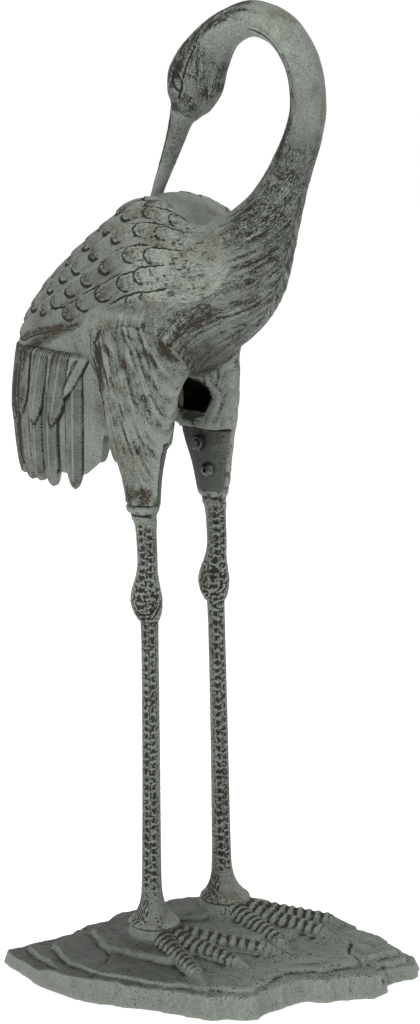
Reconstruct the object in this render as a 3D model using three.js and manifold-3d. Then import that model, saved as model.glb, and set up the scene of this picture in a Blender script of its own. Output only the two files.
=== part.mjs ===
// A preening crane for the garden, cast in aluminium: a hollow body with folded wings, a drooping tail of plumes and
// a neck curved back so that the bill rests on the back; two slender legs bolted inside the thighs; and a base of
// layered rock that carries the bird's toes. Millimetres, +Z up, the bird faces +X, its left side is +Y, and the
// origin is on the underside of the base, halfway between the feet.
import * as THREE from "three";
import { mergeVertices } from "three/addons/utils/BufferGeometryUtils.js";
import Module from "manifold-3d";

const wasm = await Module();
wasm.setup();

const DEGREE = Math.PI / 180;
const WALL = 5; // thickness of the cast body
const FIT_GAP = 0.4; // clearance between castings that are bolted together

// Trunk, neck, head and bill are one sweep in the middle plane, from the rump to the tip of the bill:
// [x, z, half depth in the plane, half width].
const SWEEP = [
  [-186, 570, 10, 16],
  [-174, 577, 28, 34],
  [-148, 590, 44, 48],
  [-112, 607, 59, 57],
  [-76, 623, 70, 61],
  [-40, 639, 78, 63],
  [-6, 656, 83, 63],
  [27, 664, 73, 60],
  [53, 671, 59, 53],
  [72.5, 686.5, 47.5, 43],
  [88.5, 706.5, 36, 34],
  [104, 729, 27, 26.5],
  [116, 751, 21.5, 21.5],
  [127, 774, 18.6, 18.6],
  [138, 799, 17, 17],
  [144, 828, 16, 16],
  [137, 863, 15.8, 15.8],
  [114, 890, 15.8, 15.8],
  [80, 899, 16, 15.8],
  [48, 887, 17.5, 16],
  [27, 866, 24, 17.5],
  [13, 843, 30, 18.5],
  [4, 824, 25, 16.5],
  [-1, 814, 17, 12.5],
  [-6, 805, 12.5, 9.5],
  [-13, 787, 9.8, 8],
  [-24, 762, 7.6, 6.6],
  [-34, 740, 6, 5.6],
  [-43, 719, 5, 5],
];
const RUMP = { x: -182, z: 571, half: [13, 28, 21], tilt: -20 * DEGREE };
const HOLLOW = { from: 1, to: 10.4 }; // rows of the sweep between which the casting is hollow
const EYE = { x: 9, z: 845, reach: 17.2, half: [6, 3.4, 4.2], tilt: 62 * DEGREE };

// Thighs: [z, x, y, half length, half width], downwards.
const THIGH = [
  [628, -22, 30, 62, 32],
  [590, -24, 35, 51, 33],
  [560, -21, 41, 44, 28.5],
  [530, -18.5, 45, 37, 24.5],
  [505, -15.5, 47, 28.5, 20.5],
  [480, -12.5, 48, 21, 17],
  [455, -10, 48, 16.5, 15],
];
const THIGH_END = 455; // height of the lower edge of the body's half of each thigh
const PARTING = 46; // the leg's tongue lies inside this |y|, the body's half of the thigh outside it
const TONGUE = { top: 512, inner: 33, rearTop: -37, rearBottom: -25 };
const ARCH = { half: 27, spring: 541, back: -78, front: 90 };

// Legs: [z, x, half length, half width], upwards from the rim of the flared foot.
const LEG = [
  [48.4, 1, 24.5, 24.5],
  [51, 0.5, 23.6, 23.6],
  [56, 0, 18.5, 18.5],
  [63, -1, 14, 14],
  [72, -1.5, 11, 11],
  [86, -2, 9.6, 9.6],
  [120, -2, 9, 9],
  [220, -2, 8.4, 8.4],
  [332, -3, 8.2, 8.2],
  [344, -4, 10.2, 9.6],
  [353, -5.5, 14, 12.6],
  [364, -7, 15.6, 14],
  [375, -7, 13.8, 12.4],
  [388, -6, 10.6, 10],
  [402, -5.5, 9.5, 9.2],
  [430, -7, 10, 9.6],
  [442, -8.5, 12.4, 11.8],
  [450, -9.5, 15.8, 14.6],
  [454.6, -10, 16.2, 14.8],
];
const FOOT_Y = 48;
// Sideways steps of each leg's line along x, by height: the left one stands a little forward and leans back.
const STANCE = {
  right: [[0, 0], [600, 0]],
  left: [[48, 4.5], [80, 3], [345, -3.6], [372, -2], [400, 0], [600, 0]],
};

// Folded wings lie on the trunk, placed by row of the sweep and by angle from the top of the back.
const WING = { front: 10.2, rear: -0.5, lift: 3.2, flare: 8 };
const FEATHER = { columns: 6, rows: 7, first: 6.9, pitch: 0.91, scallop: 0.34, rise: 2.8 };
const PRIMARY = { columns: 2, from: 3.4, rise: 3 };

// Tail plumes hang round the rear in a U: an oval in plan, with a bulging profile. An upper layer of plumes covers
// the roots of the lower one; beside each thigh the tail is a plain curtain whose lower edge rises.
const PLUMES = {
  x: -112, length: 91, width: 58, top: 592, thick: 5,
  count: 13, reach: 108 * DEGREE, end: 150 * DEGREE,
  tip: 455, notch: 468, side: 499, upperTip: 503, upperNotch: 524, quill: 2.2, layer: 2,
};

// Base: layers of rock, each [top, outline]. An outline is a closed run of [x, y] corners.
const ROCK = [
  [14, [[-119, -131], [-98, -139], [-56, -148], [-20, -153], [11, -145], [80, -118], [117, -103], [142, -87],
    [151, -76], [149, -56], [152, -36], [158, -14], [176, 5], [192, 27], [203, 42], [200, 52], [189, 70],
    [200, 96], [188, 116], [140, 126], [92, 136], [44, 128], [6, 112], [-30, 92], [-58, 58], [-80, 16],
    [-94, -40], [-108, -96]]],
  [21, [[-103, -118], [-70, -130], [-22, -147], [12, -142], [80, -116], [139, -86], [148, -74], [146, -50],
    [153, -14], [184, 24], [194, 44], [184, 68], [193, 94], [176, 112], [132, 120], [90, 128], [46, 120],
    [12, 104], [-20, 82], [-46, 46], [-66, 8], [-80, -44], [-94, -88]]],
  [28, [[-72, -112], [-30, -132], [11, -138], [80, -112], [136, -82], [144, -70], [141, -46], [138, -28],
    [142, -12], [164, 12], [174, 40], [178, 70], [184, 96], [150, 112], [124, 112], [86, 118], [40, 108],
    [8, 92], [-22, 68], [-50, 30], [-64, -10], [-82, -58]]],
  [35, [[-58, -70], [-18, -92], [22, -90], [52, -78], [58, -40], [64, 0], [92, 44], [92, 76], [62, 92],
    [34, 88], [4, 80], [-26, 56], [-48, 20], [-66, -24]]],
  [41, [[-44, -14], [-20, -18], [2, 8], [16, 40], [22, 66], [44, 80], [26, 88], [2, 80], [-26, 56], [-46, 24]]],
];
const HUB = { top: 48, rock: 26, rim: 23, foot: 33 };
const TOE = { rings: 8, ring: 2.4, root: 10.5, end: 7, claw: 24, start: 16, high: 40, low: 31 };
const TOES = {
  right: [[-23, 121], [4, 124], [27, 136]],
  left: [[-14, 122], [12, 134], [30, 130]],
};

// Bolts that hold each tongue: a hex nut on a stud above, a button-head screw below.
const BOLT = { shank: 3.9, hole: 4.3, nut: 6.5, nutHigh: 6, button: 7, buttonHigh: 4, socket: 2.6, reach: 57 };
const FASTENERS = {
  left: { nut: { x: -13, z: 499 }, screw: { x: -4, z: 474 } },
  right: { nut: { x: -25, z: 499 }, screw: { x: -15, z: 474 } },
};

const mix = (a, b, t) => a + (b - a) * t;
const power = (v, e) => Math.sign(v) * Math.abs(v) ** e;

// A repeatable number from -1 to 1 for each integer, used for the roughness of the rock.
function jitter(n) {
  const s = Math.sin(n * 127.1 + 11.7) * 43758.5453;
  return 2 * (s - Math.floor(s)) - 1;
}

// A closed geometry from a row of rings with equal numbers of points; each end is closed by a fan to its middle.
function loft(rings) {
  const sides = rings[0].length;
  const points = rings.flat();
  const faces = [];
  for (let i = 0; i + 1 < rings.length; i++) {
    for (let j = 0; j < sides; j++) {
      const a = i * sides + j;
      const b = i * sides + ((j + 1) % sides);
      faces.push([a, b, b + sides], [a, b + sides, a + sides]);
    }
  }
  for (const [ring, first, turned] of [[rings[0], 0, true], [rings.at(-1), (rings.length - 1) * sides, false]]) {
    const middle = ring.reduce((sum, p) => sum.add(p), new THREE.Vector3()).divideScalar(sides);
    points.push(middle);
    for (let j = 0; j < sides; j++) {
      const a = first + j;
      const b = first + ((j + 1) % sides);
      faces.push(turned ? [b, a, points.length - 1] : [a, b, points.length - 1]);
    }
  }
  return facing(points, faces);
}

// A geometry of the points and faces, turned so that it encloses a positive volume.
function facing(points, faces) {
  let volume = 0;
  for (const [a, b, c] of faces) volume += points[a].dot(points[b].clone().cross(points[c]));
  const index = volume < 0 ? faces.map(([a, b, c]) => [a, c, b]) : faces;
  const geometry = new THREE.BufferGeometry().setFromPoints(points);
  geometry.setIndex(index.flat());
  return geometry;
}

function solid(geometry) {
  const bare = geometry.clone();
  bare.deleteAttribute("normal");
  bare.deleteAttribute("uv");
  const merged = mergeVertices(bare, 1e-3);
  return new wasm.Manifold(new wasm.Mesh({
    numProp: 3,
    vertProperties: merged.attributes.position.array,
    triVerts: new Uint32Array(merged.index.array),
  }));
}

function geometryOf(shape) {
  const mesh = shape.getMesh();
  const geometry = new THREE.BufferGeometry();
  geometry.setAttribute("position", new THREE.BufferAttribute(new Float32Array(mesh.vertProperties), 3));
  geometry.setIndex(new THREE.BufferAttribute(new Uint32Array(mesh.triVerts), 1));
  return geometry;
}

const joined = (shapes) => shapes.reduce((whole, shape) => whole.add(shape));

// The same shape on the other side of the middle plane.
function mirrored(geometry) {
  const other = (geometry.index ? geometry.toNonIndexed() : geometry.clone()).scale(1, -1, 1);
  const place = other.attributes.position;
  const points = Array.from({ length: place.count }, (_, i) => new THREE.Vector3().fromBufferAttribute(place, i));
  return facing(points, points.flatMap((_, i) => (i % 3 ? [] : [[i, i + 1, i + 2]])));
}

// Smooth values between the rows of a table, at t from 0 to 1.
function tableAt(rows, t) {
  const place = t * (rows.length - 1);
  const i = Math.min(Math.floor(place), rows.length - 2);
  const f = place - i;
  const row = (k) => rows[Math.max(0, Math.min(rows.length - 1, k))];
  return rows[0].map((_, c) => {
    const [p, q, r, s] = [row(i - 1)[c], row(i)[c], row(i + 1)[c], row(i + 2)[c]];
    return 0.5 * (2 * q + (r - p) * f + (2 * p - 5 * q + 4 * r - s) * f * f + (3 * q - p - 3 * r + s) * f ** 3);
  });
}

// The sweep's middle, half depth, half width and the upward normal in its plane, at a row that may be fractional.
function sweepAt(row) {
  const last = SWEEP.length - 1;
  const [x, z, depth, width] = tableAt(SWEEP, row / last);
  const near = Math.max(0.3, Math.min(last - 0.3, row));
  const ahead = tableAt(SWEEP, (near + 0.3) / last);
  const behind = tableAt(SWEEP, (near - 0.3) / last);
  const way = new THREE.Vector2(ahead[0] - behind[0], ahead[1] - behind[1]).normalize();
  return { x, z, depth, width, way };
}

// A point on the sweep at an angle round from the back, raised off the surface by lift.
function skinPoint(row, round, lift = 0) {
  const { x, z, depth, width, way } = sweepAt(row);
  const up = (depth + lift) * Math.cos(round);
  return new THREE.Vector3(x - way.y * up, (width + lift) * Math.sin(round), z + way.x * up);
}

function sweep(rows, sides, liftAt) {
  return loft(rows.map((row) => Array.from({ length: sides }, (_, j) => (
    skinPoint(row, (2 * Math.PI * j) / sides, liftAt(row))
  ))));
}

// Numbers from one value to another in equal steps.
const steps = (from, to, count) => Array.from({ length: count + 1 }, (_, i) => mix(from, to, i / count));

// An egg with three half lengths, turned about y and moved into place.
function egg({ x, z, half, tilt, reach = 0 }, sides, rows) {
  const ball = new THREE.SphereGeometry(1, sides, rows);
  ball.scale(...half);
  ball.rotateY(tilt);
  ball.translate(x, -reach, z);
  return ball;
}

// Level rings from a table of [z, x, y, half length, half width], grown or shrunk by a margin.
function levels(rows, sides, margin = 0) {
  return rows.map(([z, x, y, long, wide]) => Array.from({ length: sides }, (_, j) => {
    const angle = (2 * Math.PI * j) / sides;
    return new THREE.Vector3(x + (long + margin) * Math.cos(angle), y + (wide + margin) * Math.sin(angle), z);
  }));
}

const smoothRows = (rows, count) => Array.from({ length: count }, (_, i) => tableAt(rows, i / (count - 1)));

// The value at a height in a table of [height, value], straight between its rows.
function stepAt(rows, z) {
  const i = rows.findIndex(([high]) => z <= high);
  if (i <= 0) return rows.at(i)[1];
  const [[z0, v0], [z1, v1]] = [rows[i - 1], rows[i]];
  return mix(v0, v1, (z - z0) / (z1 - z0));
}

function block(low, high) {
  const size = high.map((v, i) => v - low[i]);
  const box = new THREE.BoxGeometry(...size);
  box.translate(...low.map((v, i) => v + size[i] / 2));
  return solid(box);
}

// Angles of a wing's upper and lower edges at a row of the sweep.
function wingEdges(row) {
  const mantle = THREE.MathUtils.smoothstep(row, 3.6, 8.5);
  const shoulder = THREE.MathUtils.smoothstep(row, 5, 9.6);
  const close = THREE.MathUtils.smoothstep(row, 9, WING.front);
  return [
    (mix(2, 32, mantle) + 22 * close) * DEGREE,
    (mix(97, 121, shoulder) - 18 * close) * DEGREE,
  ];
}

// The trunk with both wings on it. Each ring runs from the middle of the back over the wing to the middle of the
// belly, and back up the other side. Every row of feathers has a line of rounded tips and, just behind it, the line
// where the next row comes out from under them.
function trunkAndWings() {
  const across = 4 * FEATHER.columns;
  const scallop = [1, 0.3, 0, 0.3];
  const rings = [];
  const line = (row, height, shift, amount, wingLift = WING.lift) => {
    const [top, low] = wingEdges(row);
    const flare = WING.flare * (1 - THREE.MathUtils.smoothstep(row, -0.5, 1.4));
    const end = row > WING.front ? -3 : 0;
    const half = [skinPoint(row, top * 0.9, end)];
    for (let j = 0; j <= across; j++) {
      const primary = j > across - 4 * PRIMARY.columns && row < PRIMARY.from;
      const at = row + (primary ? 0 : amount * scallop[(j + shift) % 4]);
      const rise = primary ? PRIMARY.rise * ((j - 1) % 4) / 4 : height;
      half.push(skinPoint(at, mix(top, low, j / across), wingLift + flare + rise));
    }
    for (const share of [0.02, 0.2, 0.42, 0.7]) half.push(skinPoint(row, mix(low, Math.PI, share), end));
    const back = skinPoint(row, 0, row < 3 ? WING.lift + flare - 1 : end);
    const other = half.map((p) => new THREE.Vector3(p.x, -p.y, p.z)).reverse();
    rings.push([back, ...half, skinPoint(row, Math.PI, end), ...other]);
  };
  line(WING.front + 0.5, 0, 0, 0, -3);
  line(WING.front - 0.5, 0, 0, 0, 0.6);
  line(8.8, 0.2, 0, 0);
  line(7.8, 0.2, 0, 0);
  for (let k = 0; k < FEATHER.rows; k++) {
    const row = FEATHER.first - k * FEATHER.pitch;
    const rise = FEATHER.rise * Math.min(1, (k + 1) / 3);
    line(row, rise, 2 * k, FEATHER.scallop);
    line(row - 0.07, 0, 2 * k, FEATHER.scallop);
  }
  line(WING.rear + 0.25, FEATHER.rise, 2 * FEATHER.rows, 0.25);
  line(WING.rear, 0, 2 * FEATHER.rows, 0.25, -4);
  return loft(rings);
}

// A point on the tail's outer surface, at an angle from straight back and a height, raised by lift.
function tailPoint(angle, z, lift = 0) {
  const fall = (604 - z) / (604 - PLUMES.tip);
  const bulge = 0.88 + 0.52 * fall - 0.5 * fall * fall;
  const x = PLUMES.x - (PLUMES.length * bulge + lift) * power(Math.cos(angle), 0.9);
  return new THREE.Vector3(x, (PLUMES.width * (0.5 + bulge / 2) + lift) * power(Math.sin(angle), 0.9), z);
}

// The tail as one shell, made of upright sections round the rear. Four sections to a plume: its edge, a flank, the
// raised quill and the other flank. The upper layer is set half a plume aside from the lower one.
function tail() {
  const { count, reach, end, tip, notch, side, upperTip, upperNotch, quill, layer, top, thick } = PLUMES;
  const raised = [0, 0.62, 1, 0.62];
  const pointed = [0, 0.7, 1, 0.7];
  const sections = [];
  const section = (angle, bottom, low, step, high) => {
    const fade = (z) => Math.min(1, (z - bottom + 8) / 30);
    sections.push([
      tailPoint(angle, bottom, -1.4), tailPoint(angle, bottom + 11, low), tailPoint(angle, step - 1.5, low),
      tailPoint(angle, step + 1.5, layer + high * fade(step)), tailPoint(angle, (step + top) / 2, layer + high),
      tailPoint(angle, top, -24), tailPoint(angle, (top + bottom) / 2, -thick), tailPoint(angle, bottom, -thick),
    ]);
  };
  const plain = (angle) => {
    const rise = THREE.MathUtils.smoothstep(Math.abs(angle), reach, reach + 22 * DEGREE);
    section(angle, mix(notch, side, rise), -0.8, upperNotch + 6, -layer - 0.8);
  };
  steps(-end, -reach - 5 * DEGREE, 3).forEach(plain);
  for (let j = 0; j <= 4 * count; j++) {
    const angle = mix(-reach, reach, j / (4 * count));
    const own = j % 4;
    const other = (j + 2) % 4;
    const uneven = 4 * jitter(Math.floor(j / 4) + 3);
    const bottom = j % (4 * count) ? mix(notch, tip + uneven, pointed[own]) : notch;
    section(angle, bottom, quill * raised[own], mix(upperNotch, upperTip + uneven, pointed[other]), quill * raised[other]);
  }
  steps(reach + 5 * DEGREE, end, 3).forEach(plain);
  return loft(sections);
}

// The space inside the tail, open below.
function tailHollow() {
  const profile = [[PLUMES.tip - 40, -2], [505, -2], [550, -6], [584, -30]];
  return solid(loft(profile.map(([z, drawnIn]) => Array.from({ length: 14 }, (_, j) => {
    const p = tailPoint(((j + 0.5) / 7) * Math.PI, Math.max(z, PLUMES.tip), drawnIn - PLUMES.thick);
    return new THREE.Vector3(p.x, p.y, z);
  }))));
}

// A tunnel along x with a round top, between the thighs.
function arch() {
  const outline = new THREE.Shape();
  outline.moveTo(-ARCH.half, 380);
  outline.lineTo(ARCH.half, 380);
  outline.lineTo(ARCH.half, ARCH.spring);
  outline.absarc(0, ARCH.spring, ARCH.half, 0, Math.PI, false);
  const tunnel = new THREE.ExtrudeGeometry(outline, {
    depth: ARCH.front - ARCH.back, bevelEnabled: false, curveSegments: 12,
  });
  tunnel.rotateX(Math.PI / 2);
  tunnel.rotateZ(Math.PI / 2);
  tunnel.translate(ARCH.back, 0, 0);
  return solid(tunnel);
}

// A round bar along y from one |y| to another, on the bird's left.
function bar(at, radius, from, to, sides = 12) {
  const rod = new THREE.CylinderGeometry(radius, radius, to - from, sides);
  rod.translate(at.x, (from + to) / 2, at.z);
  return rod;
}

const thighOuter = loft(levels(smoothRows(THIGH, 8), 14));
// The space in each thigh ends above the lapped joint, where the body's half of the thigh is solid.
const thighInner = loft(levels(smoothRows(THIGH.slice(0, 4), 4), 10, -WALL));

function body() {
  const both = (geometry) => [solid(geometry), solid(mirrored(geometry))];
  const boltHole = (at) => bar(at, BOLT.hole, 0, BOLT.reach + FIT_GAP, 8);
  const boltHoles = [
    ...Object.values(FASTENERS.left).map((at) => solid(boltHole(at))),
    ...Object.values(FASTENERS.right).map((at) => solid(mirrored(boltHole(at)))),
  ];
  const neckRows = [WING.front - 0.8, WING.front, ...steps(11, 20, 14), ...steps(21, SWEEP.length - 1, 7)];
  const hollowRows = steps(HOLLOW.from, HOLLOW.to, 8);
  const hollow = solid(sweep(hollowRows, 12, () => -WALL));
  const skin = joined([
    solid(trunkAndWings()),
    solid(sweep(neckRows, 12, (row) => (row < WING.front ? -3 : 0))),
    ...both(thighOuter),
    solid(egg(RUMP, 10, 7)),
    ...both(egg(EYE, 8, 5)),
    solid(tail()),
  ]);
  const inside = joined([hollow, ...both(thighInner), tailHollow(), arch()]);
  // Below the top of the tongue only the outer half of each thigh belongs to the body.
  const legRoom = block(
    [-70, -PARTING - FIT_GAP, THIGH_END - 20], [60, PARTING + FIT_GAP, TONGUE.top + 3 * FIT_GAP],
  );
  return skin
    .subtract(inside)
    .subtract(legRoom)
    .subtract(block([-70, -90, THIGH_END - 40], [60, 90, THIGH_END]))
    .subtract(joined(boltHoles));
}

// A leg drawn on the bird's left, with the stance and the bolt holes of its own side.
function leg(side, places) {
  const rows = LEG.map(([z, x, long, wide]) => [z, x + stepAt(STANCE[side], z), FOOT_Y, long, wide]);
  const shaft = solid(loft(levels(rows, 10)));
  const room = (z, rear) => [[rear, TONGUE.inner], [60, TONGUE.inner], [60, PARTING], [rear, PARTING]]
    .map(([x, y]) => new THREE.Vector3(x, y, z));
  const tongueRoom = solid(loft([room(THIGH_END - 8, TONGUE.rearBottom), room(TONGUE.top, TONGUE.rearTop)]));
  const root = [THIGH_END - 8, ...THIGH.at(-1).slice(1, 3), 14.4, 13];
  const tongue = solid(loft(levels([...smoothRows(THIGH, 8), root], 14))).intersect(tongueRoom);
  const holes = Object.values(places).map((at) => solid(bar(at, BOLT.hole, 0, PARTING + 5, 8)));
  return shaft.add(tongue).subtract(joined(holes));
}

function nut(at) {
  const face = TONGUE.inner - FIT_GAP;
  const hex = bar(at, BOLT.nut / Math.cos(30 * DEGREE), face - BOLT.nutHigh, face, 6);
  const stud = bar(at, BOLT.shank, face - BOLT.nutHigh - 2.5, BOLT.reach - FIT_GAP, 8);
  return solid(hex).add(solid(stud));
}

function screw(at) {
  const { button, buttonHigh, shank, socket, reach } = BOLT;
  const face = TONGUE.inner - FIT_GAP;
  const profile = [[0, 0], [1, 0], [0.93, 0.4], [0.66, 0.8], [0.38, 1], [0, 1]];
  const head = new THREE.LatheGeometry(
    profile.map(([r, h]) => new THREE.Vector2(r * button, h * buttonHigh)), 12,
  );
  head.rotateX(Math.PI);
  head.translate(at.x, face, at.z);
  return solid(head)
    .add(solid(bar(at, shank, face - 0.5, reach - FIT_GAP, 8)))
    .subtract(solid(bar(at, socket, face - buttonHigh - 1, face - 1.4, 6)));
}

// A layer of rock: an uneven outline, drawn in towards the top. The lowest layer is broken into shorter stretches.
function rockLayer([top, corners], layer) {
  const outline = corners.flatMap(([x, y], i) => {
    const [nx, ny] = corners[(i + 1) % corners.length];
    const seed = 31 * layer + 2 * i;
    const between = [mix(x, nx, 0.5) + 3 * jitter(seed), mix(y, ny, 0.5) + 3 * jitter(seed + 1)];
    return layer ? [[x, y]] : [[x, y], between];
  });
  const ring = (z, drawnIn) => outline.map(([x, y], i) => {
    const spread = Math.hypot(x - 40, y);
    const share = 1 - (drawnIn + 1.4 * jitter(31 * layer + 7 * i)) / spread;
    return new THREE.Vector3(40 + (x - 40) * share, y * share, z);
  });
  const bottom = layer ? ROCK[layer - 1][0] - 4 : 0;
  return solid(loft([ring(bottom, 0), ...(layer ? [] : [ring(top - 3, 0.8)]), ring(top, 2.6)]));
}

// One toe: a tapering bar under raised half rings, with a plain pointed claw.
function toe(footX, footY, heading, reach) {
  const way = new THREE.Vector2(Math.cos(heading * DEGREE), Math.sin(heading * DEGREE));
  const body = reach - TOE.claw;
  const pitch = (body - TOE.start - 6) / TOE.rings;
  const rows = [[TOE.start, 0]];
  for (let k = 0; k < TOE.rings; k++) {
    const at = TOE.start + 6 + k * pitch;
    rows.push([at, 0], [at + 0.5 * pitch, TOE.ring]);
  }
  rows.push([body, 0], [reach, -TOE.end + 1]);
  const rings = rows.map(([at, ring]) => {
    const t = Math.min(1, at / body);
    const radius = mix(TOE.root, TOE.end, t) + ring;
    const spine = mix(TOE.high, TOE.low, t) - (at > body ? (at - body) / 6 : 0);
    return [-90, -8, 52, 128, 188].map((degrees) => {
      const side = radius * 0.92 * Math.cos(degrees * DEGREE);
      return new THREE.Vector3(
        footX + way.x * at - way.y * side, footY + way.y * at + way.x * side, spine + radius * Math.sin(degrees * DEGREE),
      );
    });
  });
  return solid(loft(rings));
}

function base() {
  const hub = (x, y) => solid(loft(levels([
    [20, x + 2, y, HUB.foot + 3, HUB.foot],
    [30, x + 3, y, HUB.foot, HUB.foot - 4],
    [40, x + 3, y, HUB.rock, HUB.rock - 2],
    [HUB.top, x + 1, y, HUB.rim, HUB.rim],
  ], 14)));
  const feet = Object.entries(TOES).flatMap(([side, toes]) => {
    const x = stepAt(STANCE[side], HUB.top);
    const y = side === "left" ? FOOT_Y : -FOOT_Y;
    return [hub(x, y), ...toes.map(([heading, reach]) => toe(x, y, heading, reach))];
  });
  return joined([...ROCK.map(rockLayer), ...feet]).subtract(block([-400, -400, -50], [400, 400, 0]));
}

const VERDIGRIS = { color: 0x76857b, roughness: 0.62, metalness: 0.35 };
const STEEL = { color: 0x6f7370, roughness: 0.4, metalness: 0.9 };

const crane = new THREE.Group();

function place(name, geometry, finish) {
  const material = new THREE.MeshStandardMaterial(finish);
  const mesh = new THREE.Mesh(geometry, material);
  mesh.name = name;
  crane.add(mesh);
}

place("body_casting", geometryOf(body()), VERDIGRIS);
place("rock_base", geometryOf(base()), VERDIGRIS);
for (const [side, places] of Object.entries(FASTENERS)) {
  const sided = (shape) => (side === "left" ? geometryOf(shape) : mirrored(geometryOf(shape)));
  place(`${side}_leg`, sided(leg(side, places)), VERDIGRIS);
  place(`${side}_nut`, sided(nut(places.nut)), STEEL);
  place(`${side}_screw`, sided(screw(places.screw)), STEEL);
}

export default crane;
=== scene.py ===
import math

import bpy
import numpy as np
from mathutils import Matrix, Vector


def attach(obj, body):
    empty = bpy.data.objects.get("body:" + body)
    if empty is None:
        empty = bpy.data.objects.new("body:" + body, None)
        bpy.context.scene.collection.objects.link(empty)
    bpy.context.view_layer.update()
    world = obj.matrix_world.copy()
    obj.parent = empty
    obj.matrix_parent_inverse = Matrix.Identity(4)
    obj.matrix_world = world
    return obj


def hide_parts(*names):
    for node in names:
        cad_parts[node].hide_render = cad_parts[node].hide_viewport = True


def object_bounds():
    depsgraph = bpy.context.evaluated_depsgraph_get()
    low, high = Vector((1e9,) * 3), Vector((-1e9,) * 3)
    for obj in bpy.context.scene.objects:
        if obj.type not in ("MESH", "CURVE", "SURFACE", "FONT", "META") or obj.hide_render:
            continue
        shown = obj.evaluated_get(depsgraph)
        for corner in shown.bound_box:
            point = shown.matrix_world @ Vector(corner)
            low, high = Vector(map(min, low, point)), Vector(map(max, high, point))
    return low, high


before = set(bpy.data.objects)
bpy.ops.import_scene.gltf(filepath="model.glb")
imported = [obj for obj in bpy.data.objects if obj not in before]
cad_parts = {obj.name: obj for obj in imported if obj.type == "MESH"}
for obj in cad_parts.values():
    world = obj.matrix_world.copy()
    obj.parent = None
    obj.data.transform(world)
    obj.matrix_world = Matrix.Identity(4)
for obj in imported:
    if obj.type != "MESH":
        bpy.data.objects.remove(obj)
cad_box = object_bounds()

import openvdb
from mathutils import Matrix, Vector

# A garden crane of cast aluminium, preening its back, under a grey-green patina. Metres: the bird faces +X,
# its left side is +Y, and its base stands on z = 0.
MM = 0.001
DEGREE = math.pi / 180

# Body: one hollow sand casting of trunk, neck, head, bill and the outer halves of the thighs, chased with
# short strokes of plumage and bolted over the tongues of the legs. Its trunk and thighs are grown here as one
# skin, from the same sections that the solid was made from.

# Sections in the middle plane from the rump to the tip of the bill: x, z, half depth, half width.
SPINE = MM * np.array([
    [-186, 570, 10, 16], [-174, 577, 28, 34], [-148, 590, 44, 48], [-112, 607, 59, 57], [-76, 623, 70, 61],
    [-40, 639, 78, 63], [-6, 656, 83, 63], [27, 664, 73, 60], [53, 671, 59, 53], [72.5, 686.5, 47.5, 43],
    [88.5, 706.5, 36, 34], [104, 729, 27, 26.5], [116, 751, 21.5, 21.5], [127, 774, 18.6, 18.6],
    [138, 799, 17, 17], [144, 828, 16, 16], [137, 863, 15.8, 15.8], [114, 890, 15.8, 15.8],
    [80, 899, 16, 15.8], [48, 887, 17.5, 16], [27, 866, 24, 17.5], [13, 843, 30, 18.5], [4, 824, 25, 16.5],
    [-1, 814, 17, 12.5], [-6, 805, 12.5, 9.5], [-13, 787, 9.8, 8], [-24, 762, 7.6, 6.6], [-34, 740, 6, 5.6],
    [-43, 719, 5, 5],
])
# Thigh sections downwards: z, x, y, half length, half width.
THIGH = MM * np.array([
    [628, -22, 30, 62, 32], [590, -24, 35, 51, 33], [560, -21, 41, 44, 28.5], [530, -18.5, 45, 37, 24.5],
    [505, -15.5, 47, 28.5, 20.5], [480, -12.5, 48, 21, 17], [455, -10, 48, 16.5, 15],
])
WALL = 5 * MM
FIT_GAP = 0.4 * MM
THIGH_END = 455 * MM
PARTING = 46 * MM
TONGUE_TOP = 512 * MM
RUMP = {"middle": (-182 * MM, 0, 571 * MM), "half": (13 * MM, 28 * MM, 21 * MM), "tilt": -20 * DEGREE}
ARCH = {"half": 27 * MM, "spring": 541 * MM, "back": -78 * MM, "front": 90 * MM}
BOLTS = {"left": {"nut": (-13 * MM, 499 * MM), "screw": (-4 * MM, 474 * MM)},
         "right": {"nut": (-25 * MM, 499 * MM), "screw": (-15 * MM, 474 * MM)}}
BOLT_HOLE = 4.3 * MM
BOLT_RUN = (20 * MM, 57.4 * MM)
TAIL = {"x": -112 * MM, "length": 91 * MM, "width": 58 * MM, "top": 604 * MM, "tip": 455 * MM}


def smooth_table(rows, at):
    """Smooth values between the rows of a table, and straight ones before its first row."""
    at = np.asarray(at, float)
    first = np.clip(np.floor(at).astype(int), 0, len(rows) - 2)
    f = np.clip(at - first, 0, 1)[..., None]
    p, q, r, s = (rows[np.clip(first + k, 0, len(rows) - 1)] for k in (-1, 0, 1, 2))
    inside = 0.5 * (2 * q + (r - p) * f + (2 * p - 5 * q + 4 * r - s) * f**2 + (3 * q - p - 3 * r + s) * f**3)
    return inside + np.minimum(at, 0)[..., None] * 0.5 * (rows[1] - rows[0])


def smoothstep(value, low, high):
    t = np.clip((np.asarray(value, float) - low) / (high - low), 0, 1)
    return t * t * (3 - 2 * t)


def section_way(rows):
    """The direction, x and z, of the body's middle line through each section; it turns gently at the back."""
    middle = np.clip(rows, 0.3, len(SPINE) - 1.3)
    step = 0.3 + smoothstep(rows, 5.5, 7.5) * smoothstep(rows, 11.5, 9.5)
    way = (smooth_table(SPINE, middle + step) - smooth_table(SPINE, middle - step))[..., :2]
    return way / np.linalg.norm(way, axis=-1, keepdims=True)


def skin(row, angle, lift=0.0):
    """Points on the body's sections, at an angle from the middle of the back and raised by lift."""
    row, angle = np.broadcast_arrays(np.asarray(row, float), angle)
    x, z, depth, width = np.moveaxis(smooth_table(SPINE, row), -1, 0)
    way = section_way(row)
    up = (depth + lift) * np.cos(angle)
    return np.stack([x - way[..., 1] * up, (width + lift) * np.sin(angle), z + way[..., 0] * up], -1)


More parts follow.
